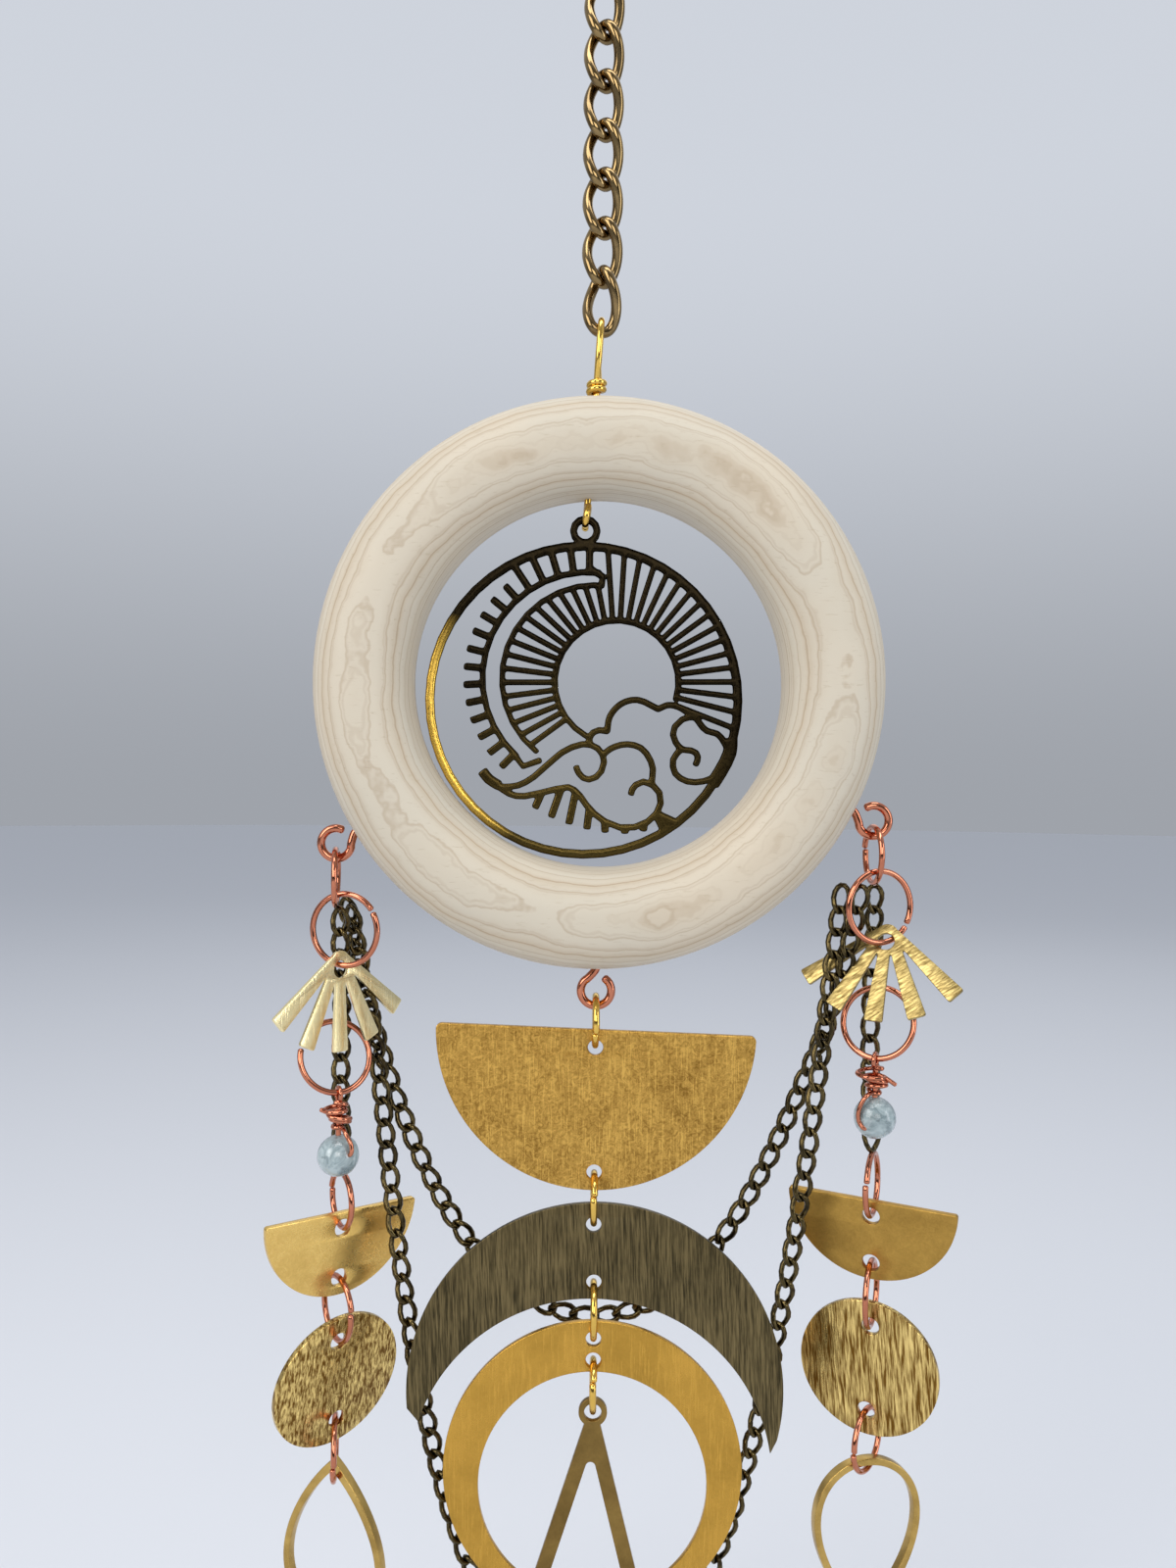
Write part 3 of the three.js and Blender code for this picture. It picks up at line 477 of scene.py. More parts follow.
SHEET_BRASS = {
    "moon_brass": metal("scuffed_brass", (0.72, 0.43, 0.10), (0.26, 0.135, 0.025), (0.28, 0.46), 0.35, 160.0,
                        scratch=12.0, mottle=0.75),
    "ring_brass": metal("satin_brass", (0.64, 0.36, 0.065), (0.34, 0.19, 0.03), (0.24, 0.38), 0.55, 70.0,
                        scratch=2.0, mottle=0.15),
    # The left fan's pale colour is painted light: it stands in for the window light that the left fan faces.
    "painted_lit_fan_brass": metal("painted_lit_fan_brass", (0.98, 0.84, 0.48), (0.70, 0.52, 0.20), (0.2, 0.34), 0.25, 300.0,
                        scratch=5.0, mottle=0.2),
    # The left half moon's bright colour is painted light, where it faces the window. The right half moon's
    # dull colour below is painted shade. Both stand for one satin brass.
    "painted_lit_left_moon_brass": metal("painted_lit_satin_brass", (0.88, 0.60, 0.19), (0.54, 0.32, 0.07), (0.24, 0.38), 0.3,
                             200.0, mottle=0.3),
    "painted_shade_right_moon_brass": metal("painted_shade_satin_brass", (0.52, 0.31, 0.07), (0.28, 0.16, 0.035), (0.3, 0.44), 0.4,
                              220.0, mottle=0.35),
    # The right fan's brushing is real, but its darker colour is painted shade, as if it were turned away from
    # the light.
    "painted_shade_brushed_fan": metal("painted_shade_diagonal_brushed_brass", (0.56, 0.43, 0.17), (0.16, 0.11, 0.035), (0.3, 0.45), 0.1,
                         brush=(4200.0, 330.0, -62.0, 10.0, 1.0)),
    "brushed_disc": metal("upright_brushed_brass", (1.0, 0.74, 0.27), (0.17, 0.08, 0.012), (0.16, 0.36), 0.05,
                          brush=(4400.0, 220.0, 3.0, 12.0, 1.2)),
    "bronze": metal("brushed_bronze", (0.22, 0.165, 0.075), (0.045, 0.036, 0.018), (0.3, 0.42), 0.25, 90.0,
                    brush=(6400.0, 330.0, 2.0, 7.0, 0.9)),
    "olive": metal("olive_brass", (0.30, 0.19, 0.055), (0.13, 0.08, 0.025), (0.3, 0.46), 0.6, 180.0,
                   mottle=0.15),
    "frame_brass": metal("frame_brass", (0.62, 0.41, 0.12), (0.24, 0.14, 0.035), (0.2, 0.38), 0.6, 240.0),
}
FINISHES.update({finish: ("sheet_brass", material) for finish, material in SHEET_BRASS.items()})
print("metal finishes:", len(FINISHES))

# %% [markdown]
# ## Pendant finish
# The cut disc is blackened brass that has rubbed back to gold along the left of its rim. The rubbed patch is
# a soft mask from the distance to a point on that rim, so it fades out as handling would leave it.

# %% Pendant finish
LOOP_LIFT = 1.4  # how far the loop on top lifts the middle of the disc's box above the middle of its rim
DARK, DARK_MOTTLE, OLIVE_GOLD = (0.007, 0.005, 0.003), (0.018, 0.013, 0.006), (0.085, 0.058, 0.015)
GOLD, GOLD_MOTTLE = (0.80, 0.52, 0.10), (0.62, 0.38, 0.06)


def pendant_finish():
    middle = centre("sun_moon_disc") - (0.0, 0.0, LOOP_LIFT)
    material, tree, shader = new_material("blackened_brass")
    shader.inputs["Metallic"].default_value = 1.0
    shader.inputs["Specular Tint"].default_value = (0.05, 0.04, 0.02, 1.0)
    spot = object_spot(tree)
    marks = use_group(tree, BLOTCHES, Vector=spot, Per_metre=140.0)

    def away(x, z):
        """Metres from a point, which is given in millimetres from the disc's middle."""
        point = tuple((middle + (x, 0.0, z)) * MM)
        return maths(tree, "DISTANCE", spot, point, "ShaderNodeVectorMath")

    on_rim = stretch(tree, away(0.0, 0.0), 0.0178, 0.0184)
    near_left = stretch(tree, away(-18.5, -5.0), 0.0155, 0.0080)
    near_foot = stretch(tree, away(-1.0, -19.0), 0.024, 0.006, 0.0, 0.75)
    dark = colour_mix(tree, near_foot, colour_mix(tree, marks["Mottle"], DARK, DARK_MOTTLE), OLIVE_GOLD)
    gold = colour_mix(tree, marks["Mottle"], GOLD, GOLD_MOTTLE)
    fill_shader(tree, shader, colour_mix(tree, times(tree, on_rim, near_left), dark, gold),
                stretch(tree, marks["Mottle"], 0.0, 1.0, 0.22, 0.36), marks["Speckle"], 1.5e-6)
    return "dark_brass", material


FINISHES["pendant"] = pendant_finish()
print("pendant finish made")

# %% [markdown]
# ## Wood
# The ring was turned from a flat-sawn board, so the tree's layers lie nearly parallel to its face. Where the
# lathe rounded it, those layers come out as contour lines that follow the ring, like the lines on a map. The
# material does the same: it shows noise that depends on depth alone, bent a little by slower noise.

# %% Wood finish
CREAM, WARM_CREAM = (0.55, 0.505, 0.415), (0.60, 0.53, 0.42)
BAND, LINE, PORE = (0.46, 0.37, 0.26), (0.33, 0.235, 0.145), (0.34, 0.25, 0.15)
SLOW_BEND, RIPPLE_BEND = 0.0030, 0.0006  # metres
PORE_DEPTH, LINE_DEPTH = -16.0, -6.0  # micrometres


def wood_finish():
    material, tree, shader = new_material("pale_turned_wood")
    spot = object_spot(tree)
    bent = add_node(tree, "ShaderNodeSeparateXYZ", Vector=spot).outputs["Y"]
    bent = plus(tree, bent, times(tree, noise(tree, spot, 30.0, 1.5), SLOW_BEND))
    bent = plus(tree, bent, times(tree, noise(tree, spot, 240.0, 3.0), RIPPLE_BEND))
    layer = add_node(tree, "ShaderNodeCombineXYZ", X=bent).outputs[0]
    bands = stretch(tree, noise(tree, layer, 800.0, 2.0), 0.38, 0.66)
    lines = stretch(tree, noise(tree, layer, 3200.0, 2.0, 0.6), 0.53, 0.65)
    fibres = add_node(tree, "ShaderNodeMapping", Vector=spot, Scale=(420.0, 3200.0, 3200.0),
                      Rotation=(0.0, math.radians(14.0), 0.0)).outputs[0]
    pores = stretch(tree, noise(tree, fibres, 1.0, 3.0, 0.65), 0.60, 0.76)
    warmth = stretch(tree, noise(tree, spot, 38.0, 2.0), 0.38, 0.66)
    colour = colour_mix(tree, warmth, CREAM, WARM_CREAM)
    for mask, share, tone in ((bands, 0.6, BAND), (lines, 0.7, LINE), (pores, 0.4, PORE)):
        colour = colour_mix(tree, times(tree, mask, share), colour, tone)
    height = plus(tree, times(tree, pores, PORE_DEPTH), times(tree, lines, LINE_DEPTH))
    fill_shader(tree, shader, colour, stretch(tree, bands, 0.0, 1.0, 0.52, 0.64), height)
    return "pale_wood", material


FINISHES["wood"] = wood_finish()
print("wood finish made")

# %% [markdown]
# ## Stone
# The beads are cloudy pale blue-grey quartz. A third of the light goes through, and veils of white and of
# darker grey run through them. A low roughness gives the polished skin.

# %% Stone finish
STONE_GREY, STONE_VEIL, STONE_FLECK = (0.20, 0.27, 0.29), (0.52, 0.62, 0.64), (0.12, 0.15, 0.16)
STONE_SHADER = {"Transmission Weight": 0.3, "IOR": 1.5, "Coat Weight": 0.5, "Coat Roughness": 0.06}


def stone_finish():
    material, tree, shader = new_material("cloudy_stone")
    for name, value in STONE_SHADER.items():
        shader.inputs[name].default_value = value
    spot = object_spot(tree)
    veil = noise(tree, spot, 420.0, 4.0, 0.6, 1.2)
    fleck = noise(tree, spot, 1100.0, 2.0)
    colour = colour_mix(tree, stretch(tree, veil, 0.38, 0.62), STONE_GREY, STONE_VEIL)
    colour = colour_mix(tree, stretch(tree, fleck, 0.60, 0.70, 0.0, 0.6), colour, STONE_FLECK)
    fill_shader(tree, shader, colour, stretch(tree, veil, 0.3, 0.7, 0.30, 0.16))
    return "stone", material


FINISHES["stone"] = stone_finish()
print("all finishes:", len(FINISHES))

# %% [markdown]
# ## Finished pieces
# Every finished piece gets its material and the body it rides on, and the imported node that it stands for is
# hidden. Shapes are worked out in millimetres, and only here become metres.

# %% Finished pieces
SHOWN = []


def dress(piece, finish, node):
    """The finish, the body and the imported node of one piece."""
    slot, material = FINISHES[finish]
    piece.data.materials.clear()
    piece.data.materials.append(material)
    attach(piece, "root")
    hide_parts(node)
    SHOWN.append(piece)
    return piece


def finished_piece(node, points, faces, finish):
    """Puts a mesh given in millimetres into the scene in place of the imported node."""
    mesh = bpy.data.meshes.new("shown_" + node)
    mesh.from_pydata((np.asarray(points) * MM).tolist(), [], faces)
    mesh.polygons.foreach_set("use_smooth", np.ones(len(mesh.polygons), bool))
    piece = bpy.data.objects.new("shown_" + node, mesh)
    bpy.context.collection.objects.link(piece)
    return dress(piece, finish, node)


print("pieces to finish:", len(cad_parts))

# %% [markdown]
# ## Wood ring
# The ring is a lathe turning. Its section is a soft oval, a little fuller than an ellipse, so it is a
# superellipse: x = a sign(cos)|cos|^k, y = b sign(sin)|sin|^k, with k = 2 / 2.3. Carrying it round the ring's
# axis gives the whole surface.

# %% Wood ring
WOOD_OUT, WOOD_IN, WOOD_DEPTH = 35.0, 22.6, 12.0
WOOD_FULLNESS = 2 / 2.3


def full_wave(wave, power):
    """sign(wave) |wave|^power. A power below 1 makes the wave fuller, and one above 1 makes it leaner."""
    return np.sign(wave) * np.abs(wave) ** power


def wood_ring(steps=160, sides=64):
    """The section (radial, depth) at angle v, carried round: (radial cos u, depth, radial sin u)."""
    u = np.linspace(0, 2 * np.pi, steps, endpoint=False)[:, None]
    v = np.linspace(0, 2 * np.pi, sides, endpoint=False)[None, :]
    radial = (WOOD_OUT + WOOD_IN) / 2 + (WOOD_OUT - WOOD_IN) / 2 * full_wave(np.cos(v), WOOD_FULLNESS)
    depth = WOOD_DEPTH / 2 * full_wave(np.sin(v), WOOD_FULLNESS)
    lathe_play = 0.05 * np.sin(3 * u + 1.0) * np.cos(v) + 0.04 * np.sin(2 * u + v)
    radial = radial + lathe_play
    points = np.stack([radial * np.cos(u), depth + 0 * u, radial * np.sin(u)], -1)
    return points.reshape(-1, 3) + RING, [face[::-1] for face in grid_faces(steps, sides, True)]


points, faces = wood_ring()
finished_piece("wood_ring", points, faces, "wood")
print("wood ring faces:", len(faces))

# %% [markdown]
# ## Curb links
# A curb link is an oval of wire that has been given a quarter turn between its two ends, so that a row of
# them lies flat. The turn follows the height in the link: at height b sin(t) the wire is turned by 45 degrees
# times sin(t).


# %% Curb links
def curb_link(width, inner, wire_radius, steps=40, sides=10, squareness=0.8, turn=45.0):
    """x = a sign(cos t)|cos t|^k, z = b sin t, turned about the link's length by turn times sin t."""
    t = np.linspace(0, 2 * np.pi, steps, endpoint=False)
    reach = (width / 2 - wire_radius) * full_wave(np.cos(t), squareness)
    angle = -math.radians(turn) * np.sin(t)
    height = (inner / 2 + wire_radius) * np.sin(t)
    path = np.stack([reach * np.cos(angle), reach * np.sin(angle), height], -1)
    return wire(path, wire_radius, sides, closed=True)


LINK_WIDTH, LINK_INNER, LINK_WIRE = 5.05, 6.24, 0.66
LINKS = [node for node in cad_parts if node.startswith("suspension_link_")]
YAWED_LINK, LINK_YAW = "suspension_link_8", -24.0
for node in LINKS:
    points, faces = curb_link(LINK_WIDTH, LINK_INNER, LINK_WIRE, steps=56, sides=14)
    points = points @ turn_matrix(yaw=LINK_YAW if node == YAWED_LINK else 0.0).T
    finished_piece(node, to_centre(points, node), faces, "antique_chain")
print("suspension links:", len(LINKS))

# %% [markdown]
# ## Jump rings
# A jump ring is a length of wire bent round until its cut ends nearly meet. The split shows as a dark line.
# So each ring is an open wire that goes not quite all the way round, with its split in a place of its own.

# %% Jump rings
BRASS_WIRE, COPPER_WIRE = 0.425, 0.375
# radius, yaw, pitch, where the split is in degrees from +X, and how open it is in millimetres
BRASS_RINGS = {
    "brass_jump_ring_1": (3.0, 90, 0, 200, 0.12),
    "brass_jump_ring_2": (2.95, 90, 0, 160, 0.14),
    "brass_jump_ring_3": (3.2, 90, 0, 20, 0.12),
    "brass_jump_ring_4": (2.9, 90, 0, 150, 0.14),
}
COPPER_RINGS = {
    "left_upper_jump_ring": (3.44, 98, 0, 60, 0.15),
    "left_large_ring": (4.36, -17, 0, 33, 0.22),
    "left_lower_ring": (4.36, 30, -20, 160, 0.18),
    "left_jump_ring_a": (3.4, 122, 0, 10, 0.15),
    "left_jump_ring_b": (3.95, 126, 0, 170, 0.15),
    "left_jump_ring_c": (3.8, 99, 0, 190, 0.15),
    "right_upper_jump_ring": (3.44, 94, 0, 10, 0.15),
    "right_large_ring": (4.36, 20, 0, -32, 0.3),
    "right_lower_ring": (4.36, -28, -16, 15, 0.18),
    "right_jump_ring_a": (3.8, 66, 0, 165, 0.15),
    "right_jump_ring_b": (3.95, 67, 0, 12, 0.15),
    "right_jump_ring_c": (3.8, 53, 0, 185, 0.2),
}
END_ROOM = 2.5  # degrees that each rounded end takes up


def jump_ring(radius, wire_radius, yaw, pitch, split, opening, steps=56, sides=12):
    """A circle in X and Z from one cut end to the other, a hair out of flat as pliers leave it."""
    half = math.degrees(opening / radius) / 2 + END_ROOM
    a = np.radians(np.linspace(split + half, split + 360 - half, steps))
    from_split = a - math.radians(split)
    lift = 0.06 * np.cos(from_split) * np.sin(from_split / 2 + math.pi / 2)
    path = np.stack([radius * np.cos(a), lift, radius * np.sin(a)], -1)
    points, faces = wire(path, wire_radius, sides)
    return points @ turn_matrix(yaw, pitch).T, faces


RING_SETS = (("bright_wire", BRASS_WIRE, BRASS_RINGS), ("copper", COPPER_WIRE, COPPER_RINGS))
for finish, wire_radius, rings in RING_SETS:
    for node, (radius, *values) in rings.items():
        points, faces = jump_ring(radius, wire_radius, *values)
        finished_piece(node, to_centre(points, node), faces, finish)
print("jump rings:", len(BRASS_RINGS) + len(COPPER_RINGS))

# %% Hanging ring
HANGING_RADIUS, HANGING_WIRE, HANGING_YAW = 4.6, 0.7, 80
u = np.linspace(0, 2 * np.pi, 72, endpoint=False)
ring_path = np.stack([HANGING_RADIUS * np.cos(u), 0 * u, HANGING_RADIUS * np.sin(u)], -1)
points, faces = wire(ring_path, HANGING_WIRE, 14, closed=True)
points = to_centre(points @ turn_matrix(HANGING_YAW).T, "hanging_ring")
finished_piece("hanging_ring", points, faces, "antique_chain")
print("hanging ring faces:", len(faces))

# %% [markdown]
# ## Screw eyes
# A screw eye is one wire too. Its shank runs out of the wood, and the wire then goes round into an eye whose
# end stops just short of the shank.

# %% Screw eyes
EYE_AT, EYE_RADIUS, EYE_WIRE, EYE_TIP = 37.8, 1.87, 0.52, 29.6
EYE_START, EYE_END, EYE_TWIST, EYE_NECK = -62, 236, 0.10, 0.9
EYE_ANGLES = {"left_screw_eye": 211.9, "right_screw_eye": -26.1, "bottom_screw_eye": 270.0}


def screw_eye(angle, side):
    """Shank along +Z from the tip, a short bend, and the eye. side is which way the wire goes round."""
    a = np.radians(np.linspace(EYE_START, EYE_END, 40))
    across, height = side * EYE_RADIUS * np.cos(a), EYE_AT + EYE_RADIUS * np.sin(a)
    eye = np.stack([across, EYE_TWIST * np.sin(a + 0.6), height], -1)
    heights = (EYE_TIP, EYE_TIP + 2, EYE_TIP + 4, EYE_AT - EYE_RADIUS - EYE_NECK)
    path = smooth_curve(np.vstack([[(0, 0, height) for height in heights], eye[::3]]), 110)
    points, faces = wire(path, EYE_WIRE, 12)
    return points @ turn_matrix(roll=90 - angle).T + RING, faces


for node, angle in EYE_ANGLES.items():
    points, faces = screw_eye(angle, -1 if node.startswith("left") else 1)
    finished_piece(node, points, faces, "copper")
print("screw eyes:", len(EYE_ANGLES))

# %% [markdown]
# ## Hanger wire
# One bright wire makes a tall narrow eye through the last link, is wound twice round itself on top of the
# wood, and goes down through the ring to a small eye that carries the cut disc. So it is one long path.

# %% Hanger wire
HANGER_TOP, HANGER_LEAN, HANGER_WIRE = 45.0, 3.8, 0.42
# The eyes are half width, half height and middle. All heights are from the hanger's top.
LOW_EYE, TOP_EYE = (1.25, 1.25, 20.45 - HANGER_TOP), (1.5, 3.4, -3.82)
WOUND_RADIUS, WOUND_TOP, WOUND_FOOT = 0.86, -7.9, -9.5


def upright_eye(half_width, half_height, middle, start, end, steps, twist=0.0):
    """Part of an oval in Y and Z, which a twist takes a little to the side."""
    a = np.radians(np.linspace(start, end, steps))
    return np.stack([twist * np.sin(a), half_width * np.cos(a), middle + half_height * np.sin(a)], -1)


def hanger_wire():
    """One smooth curve through the low eye, the stem, the top eye and the windings."""
    low_eye = upright_eye(*LOW_EYE, -75, 262, 30, twist=0.12)[::-1]
    stem = [(0, 0, LOW_EYE[2] + 3.0), (0, 0, -18.0), (0, 0, -12.0), (0, -0.05, -8.6)]
    top_eye = upright_eye(*TOP_EYE, 230, -50, 26)
    c = np.radians(np.linspace(20, 760, 44))
    down = np.linspace(WOUND_TOP, WOUND_FOOT, 44)
    wound = np.stack([WOUND_RADIUS * np.sin(c), WOUND_RADIUS * np.cos(c), down], -1)
    path = smooth_curve(np.vstack([low_eye[::2], stem, top_eye[::2], wound[::2]]), 420)
    points, faces = wire(path, HANGER_WIRE, 12)
    return points @ turn_matrix(roll=HANGER_LEAN).T + RING + (0, 0, HANGER_TOP), faces


points, faces = hanger_wire()
finished_piece("hanger_wire", points, faces, "bright_wire")
print("hanger wire faces:", len(faces))

# %% [markdown]
# ## Flat brass shapes
# Each charm is stamped from sheet: a flat outline with holes, and edges that the stamping rounded over a
# little. A flat curve gives just that: it fills between outline and holes, has a thickness and a small bevel.
# Its outline is drawn in by the bevel's width first, so the finished piece keeps its true size.


# %% Flat shape helpers
def arc(cx, cz, radius, start, end, steps):
    """Points (cx + radius cos a, cz + radius sin a), with a from start to end in degrees."""
    a = np.radians(np.linspace(start, end, steps + 1))
    return np.stack([cx + radius * np.cos(a), cz + radius * np.sin(a)], -1)


def hole(cx, cz, radius, steps=40):
    """A whole circle, whose last point is left out because the outline closes itself."""
    return arc(cx, cz, radius, 0, 360, steps)[:-1]


def stamped(outlines, thickness, edge):
    """(points, faces, flat): a sheet in X and Z, centred on Y. flat marks the faces of its flat sides."""
    curve = bpy.data.curves.new("outline", "CURVE")
    curve.dimensions = "2D"
    curve.fill_mode = "BOTH"
    curve.extrude = thickness / 2 - edge
    curve.bevel_depth = edge
    curve.bevel_resolution = 2
    curve.offset = -edge
    for outline in outlines:
        spline = curve.splines.new("POLY")
        spline.points.add(len(outline) - 1)
        flat_points = np.column_stack([outline, np.zeros(len(outline)), np.ones(len(outline))])
        spline.points.foreach_set("co", flat_points.astype(np.float32).ravel())
        spline.use_cyclic_u = True
    holder = bpy.data.objects.new("outline", curve)
    bpy.context.collection.objects.link(holder)
    bpy.context.view_layer.update()
    mesh = bpy.data.meshes.new_from_object(holder.evaluated_get(bpy.context.evaluated_depsgraph_get()))
    work = bmesh.new()
    work.from_mesh(mesh)
    bmesh.ops.remove_doubles(work, verts=work.verts, dist=1e-4)
    bmesh.ops.recalc_face_normals(work, faces=work.faces)
    points = np.array([v.co for v in work.verts])[:, [0, 2, 1]] * (1, -1, 1)
    faces = [tuple(v.index for v in face.verts) for face in work.faces]
    flat = [abs(face.normal.z) > 0.999 for face in work.faces]
    work.free()
    bpy.data.meshes.remove(mesh)
    bpy.data.objects.remove(holder)
    bpy.data.curves.remove(curve)
    return points, faces, flat


SHARP_EDGE = 35.0


def stamped_piece(node, outlines, thickness, finish, edge=0.09, **turn):
    """A stamped sheet, turned and put in its place. Its flat sides stay flat and its corners sharp."""
    points, faces, flat = stamped(outlines, thickness, edge)
    points = to_centre(points @ turn_matrix(**turn).T, node)
    piece = finished_piece(node, points, faces, finish)
    piece.data.polygons.foreach_set("use_smooth", ~np.array(flat))
    piece.data.set_sharp_from_angle(angle=math.radians(SHARP_EDGE))


# %% Half moons
SHEET, HOLE_BRASS, HOLE_COPPER = 0.8, 0.95, 1.1
BIG_MOON, BIG_TOP, BIG_LOW_HOLE = 19.7, 2.2, (0.5, -15.3)
SMALL_MOON, SMALL_TOP, SMALL_LOW_HOLE = 10.5, 2.0, (0, -6.3)
MOON_CORNER = 0.7


def half_moon(radius, top, steps=90):
    """A half circle with rounded corners. top is how far its straight edge lies above the upper hole."""
    fillet = MOON_CORNER * radius / BIG_MOON
    corner = math.sqrt((radius - fillet) ** 2 - fillet**2)
    lean = math.degrees(math.atan2(fillet, corner))
    return np.vstack([
        arc(-corner, top - fillet, fillet, 90, 180 + lean, 8),
        arc(0, top, radius, 180 + lean, 360 - lean, steps)[1:-1],
        arc(corner, top - fillet, fillet, -lean, 90, 8),
    ])


big_outlines = [half_moon(BIG_MOON, BIG_TOP), hole(0, 0, HOLE_BRASS), hole(*BIG_LOW_HOLE, HOLE_BRASS)]
stamped_piece("large_half_moon", big_outlines, SHEET, "moon_brass", roll=2.0)
small_outlines = [half_moon(SMALL_MOON, SMALL_TOP, 60), hole(0, 0, HOLE_COPPER),
                  hole(*SMALL_LOW_HOLE, HOLE_COPPER)]
# Through their finishes, the left half moon gets painted light and the right one gets painted shade.
stamped_piece("left_half_moon", small_outlines, SHEET, "painted_lit_left_moon_brass", yaw=41, pitch=4, roll=2)
stamped_piece("right_half_moon", small_outlines, SHEET, "painted_shade_right_moon_brass", yaw=-25.7, pitch=9.3, roll=1.6)
print("half moons: 3")


# %% Crescent
def crescent(outer=23.16, inner=22.35, shift=10.93, top=20.46, aside=1.2,
             left_cut=(10, 6.3), right_cut=(6, 1.8)):
    """What one disc leaves of another that is shifted up from it. The cuts are the degrees by which the outer
    and the inner arc stop short of each horn's tip, and leave it a little blunt."""
    meet = (outer**2 - inner**2 + shift**2) / (2 * shift)
    out_tip = math.degrees(math.acos(-meet / outer)) - 90
    in_tip = math.degrees(math.asin((meet - shift) / inner))
    return np.vstack([
        arc(aside, -top, outer, 180 + out_tip - left_cut[0], right_cut[0] - out_tip, 110),
        arc(aside, -top - shift, inner, right_cut[1] - in_tip, 180 + in_tip - left_cut[1], 90),
    ])


CRESCENT_LOW_HOLE = (0.4, -7.05)
crescent_outlines = [crescent(), hole(0, 0, HOLE_BRASS), hole(*CRESCENT_LOW_HOLE, HOLE_BRASS)]
stamped_piece("crescent", crescent_outlines, SHEET, "bronze", roll=2.5)
print("crescent outline points:", len(crescent_outlines[0]))

# %% Offset ring
RING_OUT, RING_IN, RING_SHIFT, RING_TOP, RING_LOW_HOLE = 18.35, 14.05, 1.9, 2.2, (0, -2.6)
RING_MIDDLE = RING_TOP - RING_OUT
ring_outlines = [hole(0, RING_MIDDLE, RING_OUT, 140), hole(0, RING_MIDDLE - RING_SHIFT, RING_IN, 120),
                 hole(0, 0, HOLE_BRASS), hole(*RING_LOW_HOLE, HOLE_BRASS)]
stamped_piece("offset_ring", ring_outlines, SHEET, "ring_brass")
print("offset ring band, mm:", round(RING_OUT - RING_IN, 2))


# %% Open triangle
def triangle(half=16.1, apex=1.87, height=37.0, bar=1.75, loop=1.74, corner=1.3, notch=0.6):
    """A frame of three bars. Its upper edges start on the round loop, and its opening has a rounded top."""
    lean = math.radians(half)
    slope = math.tan(lean)
    base = (height + apex) * slope
    inset = corner * math.tan(math.radians(45 + half / 2))
    meet = math.degrees(math.asin(apex * math.sin(lean) / loop))
    outer = np.vstack([
        arc(0, 0, loop, -90 + half + meet, 270 - half - meet, 30),
        arc(-base + inset, -height + corner, corner, 180 - half, 270, 8),
        arc(base - inset, -height + corner, corner, 270, 360 + half, 8),
    ])
    top = apex - bar / math.sin(lean)
    low = -height + bar
    foot = (low - top) * slope
    opening_top = arc(0, top - notch / math.sin(lean), notch, 180 - half, half, 8)
    inner = np.vstack([[(foot, low)], opening_top, [(-foot, low)]])
    return [outer, inner]


TRIANGLE_HOLE = 1.06
stamped_piece("open_triangle", triangle() + [hole(0, 0, TRIANGLE_HOLE)], SHEET, "olive", roll=2.0)
print("triangle made")

# %% Fans
FAN_SHEET, FAN_HOLE, FAN_EDGE = 0.5, 1.05, 0.07
HUB_UP, HUB_RADIUS, HUB_START = 0.86, 1.39, 36.9
# One finger's end and the notch beside it: distances out from the apex, and to the side
FINGER_END = ((-0.25, -1.1), (-0.07, -1.03), (0, -0.85), (0, 0.85), (-0.07, 1.03), (-0.25, 1.1))
FINGER_NOTCH = ((0.55, -0.13), (0.4, 0.0), (0.55, 0.13))


def fan(spread=25.0, apex=2.0, length=12.0, notch=3.3):
    """Five fingers that widen outwards from a point above the hole, and a rounded hub around the hole."""
    path = [arc(0, HUB_UP, HUB_RADIUS, HUB_START, 180 - HUB_START, 16)]

    def along_finger(k, start, corners):
        a = math.radians(-90 + spread * k)
        out, side = np.array((math.cos(a), math.sin(a))), np.array((-math.sin(a), math.cos(a)))
        return [out * (start + r) + side * w + (0, apex) for r, w in corners]

    for k in range(-2, 3):
        path.append(along_finger(k, length, FINGER_END))
        if k < 2:
            path.append(along_finger(k + 0.5, notch, FINGER_NOTCH))
    return np.vstack(path)


fan_outlines = [fan(), hole(0, 0, FAN_HOLE)]
# Through their finishes, the left fan gets painted light and the right fan gets painted shade.
stamped_piece("left_fan", fan_outlines, FAN_SHEET, "painted_lit_fan_brass", FAN_EDGE, yaw=51, pitch=-1.7, roll=0.8)
stamped_piece("right_fan", fan_outlines, FAN_SHEET, "painted_shade_brushed_fan", FAN_EDGE, yaw=-28, pitch=-26, roll=2.2)
print("fans: 2")

# %% Small discs
DISC_RADIUS, DISC_DROP = 8.75, 5.6  # the middle hangs this far below the upper hole
disc_outlines = [hole(0, -DISC_DROP, DISC_RADIUS, 110), hole(0, 0, HOLE_COPPER),
                 hole(0, -2 * DISC_DROP, HOLE_COPPER)]
stamped_piece("left_disc", disc_outlines, SHEET, "brushed_disc", yaw=43, pitch=11.5, roll=-6)
stamped_piece("right_disc", disc_outlines, SHEET, "brushed_disc", yaw=-27.7, pitch=5, roll=3.4)
print("small discs: 2")


# %% Teardrop frames
def drop_outline(half, top, low, steps=110):
    """Half-width grows as sin(a) sin(a/2)^0.8, which is 0.803 at most, from the point to the round end."""
    a = np.linspace(0, 2 * np.pi, steps, endpoint=False)
    x = half * np.sin(a) * np.abs(np.sin(a / 2)) ** 0.8 / 0.803
    return np.stack([x, top - (top - low) * (1 - np.cos(a)) / 2], -1)


